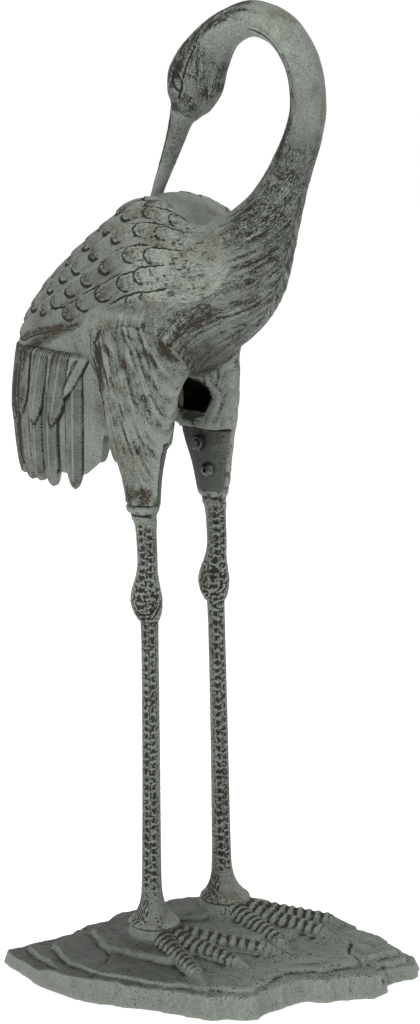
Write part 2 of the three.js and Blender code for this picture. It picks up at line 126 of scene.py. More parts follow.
def tail_skin(angle, z, lift=0.0):
    """Points on the tail's outer surface, at an angle from straight back and a height."""
    angle, z = np.broadcast_arrays(np.asarray(angle, float), z)
    fall = (TAIL["top"] - z) / (TAIL["top"] - TAIL["tip"])
    bulge = 0.88 + 0.52 * fall - 0.5 * fall**2
    cosine, sine = (np.sign(v) * np.abs(v) ** 0.9 for v in (np.cos(angle), np.sin(angle)))
    x = TAIL["x"] - (TAIL["length"] * bulge + lift) * cosine
    return np.stack([x, (TAIL["width"] * (0.5 + bulge / 2) + lift) * sine, z], -1)


def loft(rings):
    """Points, quads and end triangles of a closed shape from a row of rings."""
    count, sides = rings.shape[:2]
    i, j = np.meshgrid(np.arange(count - 1), np.arange(sides), indexing="ij")
    k = (j + 1) % sides
    corners = [i * sides + j, i * sides + k, (i + 1) * sides + k, (i + 1) * sides + j]
    quads = np.stack(corners, -1).reshape(-1, 4)
    points = np.concatenate([rings.reshape(-1, 3), rings[[0, -1]].mean(1)])
    j = np.arange(sides)
    k = (j + 1) % sides
    last = (count - 1) * sides
    start = np.stack([k, j, np.full(sides, count * sides)], -1)
    end = np.stack([last + j, last + k, np.full(sides, count * sides + 1)], -1)
    return points, quads, np.concatenate([start, end])


def level_rings(rows, sides):
    """Level oval rings from rows of z, x, y, half length, half width."""
    turn = np.linspace(0, 2 * math.pi, sides, endpoint=False)
    z, x, y, long, wide = (rows[:, k, None] for k in range(5))
    return np.stack([x + long * np.cos(turn), y + wide * np.sin(turn), z + 0 * turn], -1)


def lattice(low, high, voxel, band):
    """The grid of cells on which a casting is grown: first cell, shape, and how far distances reach."""
    first = np.floor(np.array(low) / voxel).astype(int) - 3
    last = np.ceil(np.array(high) / voxel).astype(int) + 4
    return {"first": first, "shape": tuple(last - first), "voxel": voxel, "band": band}


def cells(space):
    """The x, y and z of the cells, each ready to be broadcast."""
    axes = [(space["first"][k] + np.arange(space["shape"][k])) * space["voxel"] for k in range(3)]
    return np.meshgrid(*axes, indexing="ij", sparse=True)


def depth_field(space, points, quads, triangles):
    """Signed distance from a closed mesh, negative inside it."""
    voxel = space["voxel"]
    grid = openvdb.FloatGrid.createLevelSetFromPolygons(
        points.astype(np.float32), triangles=triangles.astype(np.uint32), quads=quads.astype(np.uint32),
        transform=openvdb.createLinearTransform(voxelSize=voxel), halfWidth=space["band"] / voxel,
    )
    values = np.empty(space["shape"], np.float32)
    grid.copyToArray(values, ijk=tuple(int(v) for v in space["first"]))
    return values


def melt(a, b, reach):
    """The union of two fields with a fillet of that reach."""
    h = np.clip(0.5 + 0.5 * (b - a) / reach, 0, 1)
    return b + (a - b) * h - reach * h * (1 - h)


def box_field(space, low, high):
    x, y, z = cells(space)
    sides = [np.maximum(low[k] - v, v - high[k]) for k, v in enumerate((x, y, z))]
    return np.maximum(np.maximum(sides[0], sides[1]), sides[2]).astype(np.float32)


def egg_field(space, egg, side=1):
    """Distance from an egg of three half lengths, turned about y."""
    x, y, z = cells(space)
    middle, half, tilt = egg["middle"], egg["half"], egg["tilt"]
    dx, dy, dz = x - middle[0], y - side * middle[1], z - middle[2]
    a = dx * math.cos(tilt) - dz * math.sin(tilt)
    c = dx * math.sin(tilt) + dz * math.cos(tilt)
    size = np.sqrt((a / half[0]) ** 2 + (dy / half[1]) ** 2 + (c / half[2]) ** 2)
    return ((size - 1) * min(half)).astype(np.float32)


def skin_of(space, field):
    """The surface of a field as points and quads."""
    grid = openvdb.FloatGrid()
    grid.copyFromArray(np.ascontiguousarray(field, np.float32), ijk=tuple(int(v) for v in space["first"]))
    grid.transform = openvdb.createLinearTransform(voxelSize=space["voxel"])
    points, _, quads = grid.convertToPolygons(0.0, 0.0)
    return points.astype(float), quads.astype(np.int64)


def gathered(count, index, values):
    return np.stack([np.bincount(index, values[:, k], count) for k in range(values.shape[1])], -1)


def normals_of(points, faces):
    corner = points[faces]
    flat = np.cross(corner[:, 2] - corner[:, 0], corner[:, -1] - corner[:, 1])
    total = sum(gathered(len(points), faces[:, k], flat) for k in range(faces.shape[1]))
    return total / np.maximum(np.linalg.norm(total, axis=1, keepdims=True), 1e-12)


def relaxed(points, faces, rounds):
    """The points, each drawn to the mean of its neighbours several times over."""
    a = faces.ravel()
    b = np.roll(faces, -1, axis=1).ravel()
    index, other = np.concatenate([a, b]), np.concatenate([b, a])
    share = 1 / np.maximum(np.bincount(index, minlength=len(points)), 1)[:, None]
    for _ in range(rounds):
        points = 0.5 * points + 0.5 * gathered(len(points), index, points[other]) * share
    return points


FIRST_MIX = np.uint64(0x9E3779B97F4A7C15)
SECOND_MIX = np.uint64(0xBF58476D1CE4E5B9)


def chance(*whole):
    """A repeatable number from 0 to 1 for each set of whole numbers."""
    mixed = np.zeros(np.broadcast(*whole).shape, np.uint64)
    for k, part in enumerate(whole):
        number = np.asarray(part).astype(np.int64).astype(np.uint64) + np.uint64(k + 1)
        mixed = mixed * FIRST_MIX + number
        mixed ^= mixed >> np.uint64(29)
        mixed = mixed * SECOND_MIX
        mixed ^= mixed >> np.uint64(32)
    return (mixed >> np.uint64(40)).astype(float) / float(1 << 24)


def ripple(points, seed):
    """Smooth noise from -1 to 1 at points of two or three coordinates, in units of one bump."""
    base = np.floor(points).astype(np.int64)
    f = points - base
    f = f * f * (3 - 2 * f)
    total = 0
    for corner in np.ndindex(*(2,) * points.shape[-1]):
        weight = 1
        for k, step in enumerate(corner):
            weight = weight * (f[..., k] if step else 1 - f[..., k])
        total = total + weight * chance(*(base[..., k] + step for k, step in enumerate(corner)), seed)
    return 2 * total - 1


# How often a skin is relaxed to find its fine and its broad relief, and how deep each is where it is darkest.
FINE_ROUNDS, BROAD_ROUNDS = 4, 30
FINE_DEPTH, BROAD_DEPTH, BROAD_REST = 0.22 * MM, 0.9 * MM, 0.35 * MM


def cast_piece(name, points, faces, extra, contrast=1.0):
    """A mesh with two measures of its relief: crevice, how deep a point lies, and worn, how proud it is."""
    points = np.clip(points, cad_box[0], cad_box[1])
    mesh = bpy.data.meshes.new(name)
    mesh.vertices.add(len(points))
    mesh.vertices.foreach_set("co", points.astype(np.float32).ravel())
    faces = [faces] if isinstance(faces, np.ndarray) else faces
    loops = np.concatenate([part.ravel() for part in faces]).astype(np.int32)
    sizes = np.concatenate([np.full(len(part), part.shape[1]) for part in faces])
    mesh.loops.add(len(loops))
    mesh.loops.foreach_set("vertex_index", loops)
    mesh.polygons.add(len(sizes))
    mesh.polygons.foreach_set("loop_start", (np.cumsum(sizes) - sizes).astype(np.int32))
    mesh.update(calc_edges=True)
    mesh.validate()
    normal = normals_of(points, faces[0])
    fine = np.sum((relaxed(points, faces[0], FINE_ROUNDS) - points) * normal, 1)
    broad = np.sum((relaxed(points, faces[0], BROAD_ROUNDS) - points) * normal, 1)
    broad = np.sign(broad) * np.maximum(np.abs(broad) - BROAD_REST, 0)
    depth = contrast * (fine / FINE_DEPTH + broad / BROAD_DEPTH)
    measures = {"crevice": np.clip(depth, 0, 1.5), "worn_and_lit": np.clip(-depth, 0, 1.5)}
    measures["pecks"] = extra.get("stroke", 0 * depth)
    measures.update(extra)
    for key, values in measures.items():
        values = np.asarray(values, np.float32)
        kind, field = ("FLOAT", "value") if values.ndim == 1 else ("FLOAT_VECTOR", "vector")
        mesh.attributes.new(key, kind, "POINT").data.foreach_set(field, values.ravel())
    mesh.polygons.foreach_set("use_smooth", np.ones(len(sizes), bool))
    piece = bpy.data.objects.new(name, mesh)
    bpy.context.scene.collection.objects.link(piece)
    return piece


def feed(tree, socket, value):
    if isinstance(value, bpy.types.NodeSocket):
        tree.links.new(value, socket)
    else:
        socket.default_value = value


def maths(tree, operation, *values):
    node = tree.nodes.new("ShaderNodeMath")
    node.operation = operation
    for socket, value in zip(node.inputs, values):
        feed(tree, socket, value)
    return node.outputs[0]


def noise(tree, place, scale, detail=4.0, roughness=0.55, warp=0.0):
    node = tree.nodes.new("ShaderNodeTexNoise")
    keys = ("Vector", "Scale", "Detail", "Roughness", "Distortion")
    for key, value in zip(keys, (place, scale, detail, roughness, warp)):
        feed(tree, node.inputs[key], value)
    return node.outputs["Fac"]


def band(tree, value, low, high, start=0.0, end=1.0):
    """A value taken smoothly from start to end while it runs from low to high."""
    node = tree.nodes.new("ShaderNodeMapRange")
    node.interpolation_type = "SMOOTHSTEP"
    for socket, part in zip(node.inputs, (value, low, high, start, end)):
        feed(tree, socket, part)
    return node.outputs[0]


def tint(tree, share, a, b):
    node = tree.nodes.new("ShaderNodeMix")
    node.data_type = "RGBA"
    for index, value in ((0, share), (6, a), (7, b)):
        feed(tree, node.inputs[index], value)
    return node.outputs[2]


def strokes_group():
    """Fine cut lines that follow the plumage, from its own lengthwise and crosswise distances in metres."""
    tree = bpy.data.node_groups.new("cut strokes", "ShaderNodeTree")
    tree.interface.new_socket("Strand", in_out="INPUT", socket_type="NodeSocketVector")
    for key in ("Amount", "Barb", "Barbs"):
        tree.interface.new_socket(key, in_out="INPUT", socket_type="NodeSocketFloat")
    tree.interface.new_socket("Height", in_out="OUTPUT", socket_type="NodeSocketFloat")
    given, out = tree.nodes.new("NodeGroupInput"), tree.nodes.new("NodeGroupOutput")
    lines = None
    for along, across, share in ((105.0, 370.0, 1.0), (210.0, 560.0, 0.75)):
        stretch = tree.nodes.new("ShaderNodeVectorMath")
        stretch.operation = "MULTIPLY"
        feed(tree, stretch.inputs[0], given.outputs["Strand"])
        feed(tree, stretch.inputs[1], (along, across, 1.0))
        value = noise(tree, stretch.outputs[0], 1.0, 2.0, 0.5)
        off = maths(tree, "ABSOLUTE", maths(tree, "SUBTRACT", value, 0.5))
        line = maths(tree, "MULTIPLY", band(tree, off, 0.0, 0.06, 1.0, 0.0), share)
        lines = line if lines is None else maths(tree, "MAXIMUM", lines, line)
    lines = maths(tree, "MULTIPLY", lines, given.outputs["Amount"])
    wave = maths(tree, "SINE", maths(tree, "MULTIPLY", given.outputs["Barb"], 2 * math.pi))
    wave = maths(tree, "MULTIPLY", band(tree, wave, -0.4, 0.9), given.outputs["Barbs"])
    tree.links.new(maths(tree, "MAXIMUM", lines, wave), out.inputs["Height"])
    return tree


def patina_group():
    """Grey-green patina, rubbed thin and painted paler as a highlight where it stands proud, over a
    brown-black coat in the recesses.
    """
    tree = bpy.data.node_groups.new("patina", "ShaderNodeTree")
    tree.interface.new_socket("Place", in_out="INPUT", socket_type="NodeSocketVector")
    for key in ("Crevice", "Worn_and_lit", "Ink", "Lines", "Speckle", "Rust", "Shade_and_tone", "Pecks", "Brown"):
        tree.interface.new_socket(key, in_out="INPUT", socket_type="NodeSocketFloat")
    tree.interface.new_socket("Base Color", in_out="OUTPUT", socket_type="NodeSocketColor")
    for key in ("Roughness", "Height"):
        tree.interface.new_socket(key, in_out="OUTPUT", socket_type="NodeSocketFloat")
    given, out = tree.nodes.new("NodeGroupInput"), tree.nodes.new("NodeGroupOutput")
    place, crevice, worn_and_lit, ink, lines = (given.outputs[k] for k in range(5))
    speckle, rust, shade_and_tone, pecks, brown = (given.outputs[k] for k in range(5, 10))
    cloud = noise(tree, place, 19.0, 5.0, 0.6)
    mottle = noise(tree, place, 85.0, 5.0, 0.62)
    grain = noise(tree, place, 610.0, 3.0, 0.62)
    fine = noise(tree, place, 1500.0, 2.0, 0.5)
    # Proud places are paler: partly the patina rubbed thin, partly a painted highlight where their edges
    # catch the light.
    pale = maths(tree, "MULTIPLY_ADD", cloud, 0.9, maths(tree, "MULTIPLY", worn_and_lit, 0.42))
    deep = maths(tree, "MULTIPLY", crevice, -0.3)
    pale = maths(tree, "ADD", pale, maths(tree, "MULTIPLY_ADD", mottle, 0.5, deep))
    pale = maths(tree, "MULTIPLY_ADD", grain, 1.3, maths(tree, "SUBTRACT", pale, 0.65))
    green = tint(tree, band(tree, pale, 0.35, 1.05), PATINA["mid"], PATINA["light"])
    green = tint(tree, band(tree, fine, 0.42, 0.68, 0.0, 0.5), green, PATINA["bloom"])
    blotch = maths(tree, "MULTIPLY", band(tree, noise(tree, place, 31.0, 4.0, 0.6, 0.6), 0.5, 0.66), rust)
    blotch = maths(tree, "MULTIPLY", blotch, band(tree, grain, 0.4, 0.58))
    green = tint(tree, blotch, green, PATINA["rust"])
    rough_edge = maths(tree, "MULTIPLY_ADD", grain, 1.3, maths(tree, "MULTIPLY_ADD", mottle, 0.5, -0.9))
    recess = maths(tree, "MULTIPLY_ADD", crevice, 0.85, maths(tree, "MULTIPLY_ADD", ink, 1.15, rough_edge))
    clumps = band(tree, noise(tree, place, 46.0, 3.0, 0.6), 0.36, 0.58, 0.55, 1.2)
    clumped = maths(tree, "MULTIPLY", lines, clumps)
    recess = maths(tree, "MULTIPLY_ADD", clumped, 1.0, recess)
    recess = band(tree, maths(tree, "SUBTRACT", recess, maths(tree, "MULTIPLY", worn_and_lit, 0.3)), 0.34, 0.86)
    mixed = maths(tree, "MULTIPLY_ADD", mottle, 0.38, maths(tree, "MULTIPLY_ADD", cloud, 0.37, grain))
    limit = maths(tree, "MULTIPLY", speckle, maths(tree, "MULTIPLY_ADD", pecks, -0.2, -0.06))
    flecks = band(tree, maths(tree, "SUBTRACT", mixed, maths(tree, "ADD", limit, 1.1)), 0.0, 0.08)
    dark = maths(tree, "MAXIMUM", recess, maths(tree, "MULTIPLY", flecks, 0.9))
    # This input darkens the patina where it is positive and lightens it where it is negative: painted shade,
    # painted light, and the casting's own duller or brighter tone.
    shaded = tree.nodes.new("ShaderNodeVectorMath")
    shaded.operation = "SCALE"
    feed(tree, shaded.inputs[0], green)
    feed(tree, shaded.inputs["Scale"], maths(tree, "SUBTRACT", 1.0, shade_and_tone))
    color = tint(tree, maths(tree, "MULTIPLY", dark, 0.95), shaded.outputs[0], PATINA["dark"])
    stained = maths(tree, "MULTIPLY", brown, band(tree, grain, 0.36, 0.56, 0.25, 1.0))
    tree.links.new(tint(tree, stained, color, PATINA["brown"]), out.inputs["Base Color"])
    tree.links.new(maths(tree, "MULTIPLY_ADD", dark, 0.14, 0.52), out.inputs["Roughness"])
    bumps = maths(tree, "MULTIPLY_ADD", grain, 1.0, maths(tree, "MULTIPLY", fine, 0.55))
    sunken = maths(tree, "MULTIPLY_ADD", dark, 0.35, maths(tree, "MULTIPLY", lines, 0.8))
    bumps = maths(tree, "SUBTRACT", bumps, sunken)
    tree.links.new(bumps, out.inputs["Height"])
    return tree


def casting_material(name, speckle, rust, bump=0.9):
    """The patina on one kind of casting: how flecked it is, how rusty, and how strong its grain."""
    material = bpy.data.materials.new(name)
    material.use_nodes = True
    tree = material.node_tree
    shader = tree.nodes["Principled BSDF"]
    coat, cuts = tree.nodes.new("ShaderNodeGroup"), tree.nodes.new("ShaderNodeGroup")
    coat.node_tree, cuts.node_tree = PATINA_GROUP, STROKES_GROUP
    tree.links.new(tree.nodes.new("ShaderNodeTexCoord").outputs["Object"], coat.inputs["Place"])
    coat_keys = ("Crevice", "Worn_and_lit", "Ink", "Shade_and_tone", "Pecks", "Brown")
    for group, keys in ((coat, coat_keys), (cuts, ("Strand", "Amount", "Barb", "Barbs"))):
        for key in keys:
            measure = tree.nodes.new("ShaderNodeAttribute")
            measure.attribute_name = "stroke" if key == "Amount" else key.lower()
            tree.links.new(measure.outputs["Vector" if key == "Strand" else "Fac"], group.inputs[key])
    tree.links.new(cuts.outputs["Height"], coat.inputs["Lines"])
    coat.inputs["Speckle"].default_value = speckle
    coat.inputs["Rust"].default_value = rust
    relief = tree.nodes.new("ShaderNodeBump")
    relief.inputs["Strength"].default_value = bump
    relief.inputs["Distance"].default_value = 1.3 * MM
    tree.links.new(coat.outputs["Height"], relief.inputs["Height"])
    tree.links.new(coat.outputs["Base Color"], shader.inputs["Base Color"])
    tree.links.new(coat.outputs["Roughness"], shader.inputs["Roughness"])
    tree.links.new(relief.outputs["Normal"], shader.inputs["Normal"])
    shader.inputs["Specular IOR Level"].default_value = 0.2
    return material


def belongs(piece, node, material):
    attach(piece, "root")
    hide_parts(node)
    piece.data.materials.append(material)


PATINA = {
    "light": (0.228, 0.264, 0.226, 1), "mid": (0.095, 0.110, 0.091, 1), "bloom": (0.410, 0.440, 0.390, 1),
    "rust": (0.100, 0.066, 0.046, 1), "dark": (0.020, 0.0155, 0.0115, 1), "brown": (0.046, 0.033, 0.022, 1),
}
PATINA_GROUP = patina_group()
STROKES_GROUP = strokes_group()
plumage = casting_material("feathered casting", 0.6, 0.8)


def sharpest(a, b, reach):
    """The overlap of two fields with a rounded edge of that reach."""
    return -melt(-a, -b, reach)


def placed(points, first=0.0, last=28.0):
    """Row of the body's sections and angle from the middle of the back, for points anywhere near the skin."""
    rows = np.linspace(first, last, int(24 * (last - first)))
    x, z, depth, width = smooth_table(SPINE, rows).T
    way = section_way(rows)
    row, angle = np.zeros(len(points)), np.zeros(len(points))
    for k in range(0, len(points), 6000):
        px, py, pz = points[k:k + 6000].T
        dx, dz = px[:, None] - x, pz[:, None] - z
        up = dz * way[:, 0] - dx * way[:, 1]
        miss = np.abs(dx * way[:, 0] + dz * way[:, 1]) + 3 * np.maximum(np.abs(up) - 1.15 * depth - 4 * MM, 0)
        best = miss.argmin(1)
        pick = np.arange(len(px)), best
        row[k:k + 6000] = rows[best]
        angle[k:k + 6000] = np.arctan2(py / width[best], up[pick] / depth[best])
    return row, angle


def spine_run(row):
    """Distance along the body's middle line to a row, and the mean radius there."""
    rows = np.linspace(0, len(SPINE) - 1, 900)
    x, z, depth, width = smooth_table(SPINE, rows).T
    run = np.concatenate([[0], np.cumsum(np.hypot(np.diff(x), np.diff(z)))])
    return np.interp(row, rows, run), np.interp(row, rows, 0.5 * (depth + width))


FAR = 1e9


def thinned(points, faces, hidden, keep):
    """The mesh with its hidden part in fewer, larger triangles."""
    mesh = bpy.data.meshes.new("thinned")
    mesh.from_pydata(points.tolist(), [], faces.tolist())
    thing = bpy.data.objects.new("thinned", mesh)
    bpy.context.scene.collection.objects.link(thing)
    group = thing.vertex_groups.new(name="hidden")
    group.add(np.flatnonzero(hidden).tolist(), 1.0, "REPLACE")
    step = thing.modifiers.new("thin", "DECIMATE")
    step.vertex_group, step.ratio = "hidden", 1 - (1 - keep) * hidden.mean()
    done = bpy.data.meshes.new_from_object(thing.evaluated_get(bpy.context.evaluated_depsgraph_get()))
    done.calc_loop_triangles()
    corners = np.empty(len(done.vertices) * 3, np.float32)
    done.vertices.foreach_get("co", corners)
    triangles = np.empty(len(done.loop_triangles) * 3, np.int32)
    done.loop_triangles.foreach_get("vertices", triangles)
    bpy.data.objects.remove(thing)
    bpy.data.meshes.remove(mesh)
    bpy.data.meshes.remove(done)
    return corners.reshape(-1, 3).astype(float), triangles.reshape(-1, 3).astype(np.int64)


def groove(points, line, width):
    """How near each point lies, seen from the side, to a line of [x, z] points, from 0 to 1."""
    near = np.full(len(points), FAR)
    x, z = points[:, 0] / MM, points[:, 2] / MM
    for (ax, az), (bx, bz) in zip(line, line[1:]):
        dx, dz = bx - ax, bz - az
        t = np.clip(((x - ax) * dx + (z - az) * dz) / (dx * dx + dz * dz), 0, 1)
        near = np.minimum(near, np.hypot(x - ax - t * dx, z - az - t * dz))
    return np.exp(-((near / width) ** 2))


POCKET_FLOOR = 530 * MM
# Row of the sections at which the trunk's skin ends inside the neck's, and how far each draws in there.
SEAM = 12.5
SEAM_EASE = -2.4 * MM
SKIN_DEPTH = -2.2 * MM
# A stained stripe low on the breast, in millimetres of x and z.
BREAST_STRIPE = ((-14, 588), (16, 600), (48, 622), (66, 640))
body_space = lattice((-206 * MM, -72 * MM, 450 * MM), (140 * MM, 72 * MM, 800 * MM), 1.65 * MM, 20 * MM)


def trunk_field(space):
    around = np.linspace(0, 2 * math.pi, 72, endpoint=False)
    rows = np.linspace(0, SEAM + 0.45, 170)
    ease = SEAM_EASE * smoothstep(rows, SEAM - 0.15, SEAM + 0.4)
    tube = depth_field(space, *loft(skin(rows[:, None], around, ease[:, None])))
    return melt(tube, egg_field(space, RUMP), 6 * MM)


def thigh_fields(space):
    rows = smooth_table(THIGH, np.linspace(0, len(THIGH) - 1, 60))
    rows = np.concatenate([rows, rows[-1:] - [[20 * MM, 0, 0, 0, 0]]])
    left = depth_field(space, *loft(level_rings(rows, 56)))
    return np.minimum(left, left[:, ::-1])


def body_hollow(space, whole):
    """The space inside the casting, open into the tail, and the openings for arch and lapped joint."""
    x, y, z = cells(space)
    neck_end = SPINE[10, :2]
    way = (SPINE[11, :2] - SPINE[10, :2]) / np.linalg.norm(SPINE[11, :2] - SPINE[10, :2])
    before_neck = (x - neck_end[0]) * way[0] + (z - neck_end[1]) * way[1] - 10 * MM
    inner = np.maximum(np.maximum(whole + WALL, before_neck), POCKET_FLOOR - z)
    heights, drawn_in = MM * np.array([405, 505, 550, 584]), MM * np.array([-7, -7, -11, -35])
    turn = np.linspace(0, 2 * math.pi, 48, endpoint=False)
    rings = tail_skin(turn, np.maximum(heights, TAIL["tip"])[:, None], drawn_in[:, None])
    rings[..., 2] = heights[:, None]
    inner = np.minimum(inner, depth_field(space, *loft(rings)))
    tunnel = np.where(z < ARCH["spring"], np.abs(y), np.hypot(y, z - ARCH["spring"])) - ARCH["half"]
    ends = np.maximum(ARCH["back"] - x, x - ARCH["front"])
    near = (-70 * MM, -PARTING - FIT_GAP, 400 * MM)
    far = (60 * MM, PARTING + FIT_GAP, TONGUE_TOP + 3 * FIT_GAP)
    return inner, np.minimum(np.maximum(tunnel, ends), box_field(space, near, far))


def sampled(space, values, points):
    """Values of a grid at points, from the nearest cell."""
    index = np.rint(points / space["voxel"] - space["first"]).astype(int)
    index = np.clip(index, 0, np.array(space["shape"]) - 1)
    return values[tuple(index.T)]


def smooth_steps(at, low, high, blend):
    return smoothstep(at, low - blend, low + blend) * smoothstep(at, high + blend, high - blend)


thighs = thigh_fields(body_space)
trunk = trunk_field(body_space)
whole = melt(trunk, thighs, 20 * MM)
inner, openings = body_hollow(body_space, whole)
carved = sharpest(whole, -np.minimum(inner, openings), 1.5 * MM)
x, y, z = cells(body_space)
carved = sharpest(carved, THIGH_END - z, 2 * MM)
for side, places in BOLTS.items():
    for px, pz in places.values():
        outward = y if side == "left" else -y
        length = np.maximum(BOLT_RUN[0] - outward, outward - BOLT_RUN[1])
        carved = np.maximum(carved, -np.maximum(np.hypot(x - px, z - pz) - BOLT_HOLE, length))
points, quads = skin_of(body_space, carved)

row, angle = placed(points, 0.0, SEAM + 0.4)
turned = np.abs(angle) / DEGREE
under_wing = (row > 0.4) & (row < 8.8) & (turned < 86) & (turned > 6 + 38 * smoothstep(row, 3, 8.5))
outside = sampled(body_space, whole, points) > SKIN_DEPTH
in_tail = (points[:, 0] < -100 * MM) & (points[:, 2] < 590 * MM)
points, faces = thinned(points, quads, ~outside | under_wing | in_tail, 0.06)

row, angle = placed(points, 0.0, SEAM + 0.4)
turned = np.abs(angle) / DEGREE
run, radius = spine_run(row)
outside = (sampled(body_space, whole, points) > SKIN_DEPTH).astype(float)
on_thigh = smoothstep(sampled(body_space, trunk - thighs, points), -4 * MM, 10 * MM)
x_mm, y_mm, z_mm = points.T / MM
# Lengthwise and crosswise distances: down the thighs, and along the neck and breast.
down_thigh = points[:, 2] + 0.25 * points[:, 0]
round_thigh = points[:, 0] * np.sign(y_mm) - 0.35 * points[:, 2]
round_breast = radius * angle + 0.85 * np.minimum(run, 262 * MM) * np.sign(angle)
strand = np.where(
    on_thigh[:, None] > 0.5,
    np.stack([down_thigh, round_thigh, points[:, 1]], -1),
    np.stack([run, round_breast, 0 * run], -1),
)
breast = smooth_steps(row, 4.6, 10.6, 0.9) * smoothstep(turned, 96, 116)
neck = smooth_steps(row, 9.6, 13.2, 0.8)
rear_thigh = on_thigh * smoothstep(x_mm, -34, -56) * smooth_steps(z_mm, 515, 640, 14)
belly = smoothstep(turned, 128, 150) * smooth_steps(row, 1.5, 7.5, 1.0) * (1 - on_thigh)
hump = smooth_steps(row, 4.4, 9.8, 0.8) * smoothstep(turned, 60, 36)
stroke = outside * (1 - 0.75 * hump) * np.maximum.reduce([
    0.9 * breast * (1 - on_thigh), 1.0 * neck, 1.0 * rear_thigh, 0.6 * on_thigh, 0.45 + 0 * row,
])
# The belly is darkened as painted shade and the shoulder lightened as painted light where it catches the
# light; the neck and the hump are a little darker.
shoulder = smooth_steps(row, 6.8, 10.4, 0.6) * smoothstep(turned, 100, 78)
shade_and_tone = 0.5 * belly + 0.16 * neck + 0.14 * hump - 0.16 * shoulder
lump = ripple(strand * [1 / 0.018, 1 / 0.0036, 1.0], 31)
relief = outside * (0.42 * breast + 0.35 * neck + 0.9 * rear_thigh + 0.3 * on_thigh) * lump * MM
relief += outside * 0.35 * ripple(points / (9 * MM), 33) * MM
stripe = groove(points, BREAST_STRIPE, 9) * (turned > 90)
ragged = ripple(points / (7 * MM), 35) + 0.8 * (x_mm < 4) - 0.4
patch = smoothstep(z_mm, 476, 468) * smoothstep(ragged, -0.5, 0.3)
relief += outside * 0.5 * patch * ripple(points / (3.2 * MM), 36) * MM
blot = smoothstep(ripple(points / (13 * MM), 34), 0.0, 0.7) * outside
broken = stripe * smoothstep(ripple(strand * [1 / 0.016, 1 / 0.005, 1.0], 37), -0.5, 0.4)
ink = 0.5 * broken + 0.56 * patch * outside + rear_thigh * (0.2 + 0.75 * smoothstep(-lump, -0.1, 0.45))
# The inner faces of the hollow casting are darkened as painted shade.
ink = ink + 1.1 * (1 - outside)
brown = np.clip(0.7 * broken + 0.85 * patch, 0, 1) * outside
blotted = 0.34 * neck * smoothstep(turned, 50, 80) + 0.2 * breast + 0.12 * on_thigh
ink = np.clip(ink + blotted * blot, 0, 1.4)
points = points + normals_of(points, faces) * relief[:, None]
extra = {"ink": ink, "strand": strand, "stroke": stroke, "shade_and_tone": shade_and_tone, "brown": brown}
body = cast_piece("body_skin", points, faces, extra)
belongs(body, "body_casting", plumage)

# Neck, head and bill: the solid end of the same casting, chased finer, with a folded crease down the neck, an
# eye sunk in its socket and a plain horny bill. It is grown as its own skin, which slips inside the trunk's.

head_space = lattice((-52 * MM, -23 * MM, 700 * MM), (162 * MM, 23 * MM, 917 * MM), 1.15 * MM, 8 * MM)
EYE = {
    "middle": (5.5 * MM, 16.6 * MM, 840.0 * MM), "half": (6.2 * MM, 2.6 * MM, 3.6 * MM), "tilt": 62 * DEGREE,
}
NECK_CREASE = {"rows": (14.2, 17.6), "angle": 58}
EYE_GROOVE = ((26, 872), (20, 862), (15.5, 851), (11.5, 838), (8.5, 829), (6, 825))
CHEEK_LINES = (((31, 868), (29, 856), (27, 846)), ((37, 850), (35, 838), (33, 829)))
BILL_TIP_Z = 762.5

around = np.linspace(0, 2 * math.pi, 72, endpoint=False)
rows = np.linspace(SEAM - 0.45, len(SPINE) - 1, 330)
ease = SEAM_EASE * smoothstep(rows, SEAM + 0.15, SEAM - 0.4)
head_field = depth_field(head_space, *loft(skin(rows[:, None], around, ease[:, None])))
for side in (-1, 1):
    head_field = melt(head_field, egg_field(head_space, EYE, side), 0.8 * MM)
points, quads = skin_of(head_space, head_field)
row, angle = placed(points, SEAM - 0.4, len(SPINE) - 1.0)
turned = np.abs(angle) / DEGREE
run, radius = spine_run(row)
x_mm, y_mm, z_mm = points.T / MM
strand = np.stack([run, radius * angle, 0 * run], -1)
on_side = smoothstep(np.abs(y_mm), 6, 11)
on_bill = smoothstep(row, 23.2, 24.2)
from_crease = turned - NECK_CREASE["angle"]
crease_run = smooth_steps(row, *NECK_CREASE["rows"], 0.5)
crease = crease_run * np.exp(-((from_crease / 4.5) ** 2))
fold = crease_run * np.exp(-(((from_crease - 11) / 7) ** 2))
eye_off = np.stack([x_mm - EYE["middle"][0] / MM, z_mm - EYE["middle"][2] / MM], -1)
tilt = EYE["tilt"]
long_way = eye_off[:, 0] * math.cos(tilt) - eye_off[:, 1] * math.sin(tilt)
short_way = eye_off[:, 0] * math.sin(tilt) + eye_off[:, 1] * math.cos(tilt)
eye_ring = np.hypot(long_way / 8.6, short_way / 5.4)
socket = on_side * np.exp(-(((eye_ring - 1) / 0.16) ** 2))
lid = on_side * np.exp(-(((eye_ring - 1.45) / 0.2) ** 2))
behind = on_side * groove(points, EYE_GROOVE, 1.1)
cheek = on_side * np.maximum.reduce([groove(points, line, 2.6) for line in CHEEK_LINES])
nape = smooth_steps(row, 17.6, 21.6, 0.8) * smoothstep(turned, 84, 112)
step = smooth_steps(row, 22.6, 23.5, 0.25) * smoothstep(turned, 60, 110)
culmen = on_bill * smoothstep(turned, 98, 118)
tip_edge = np.exp(-(((z_mm - BILL_TIP_Z) / 1.2) ** 2)) * on_bill
throat = smooth_steps(row, 19.6, 22.6, 0.7) * smoothstep(turned, 52, 30)
on_head = smooth_steps(row, 19.6, 23.2, 0.5)
inner_band = smooth_steps(row, 12.8, 17.2, 0.8) * np.exp(-(((turned - 62) / 17) ** 2))
smooth_band = smooth_steps(row, 14.4, 17.6, 0.7) * smoothstep(turned, 72, 96)
lump = ripple(strand * [1 / 0.016, 1 / 0.0042, 1.0], 41)
cut_in = 1.3 * crease + 0.8 * socket + 1.0 * behind + 0.4 * cheek + 0.5 * step
relief = (0.5 * fold + 0.6 * lid - cut_in) * MM
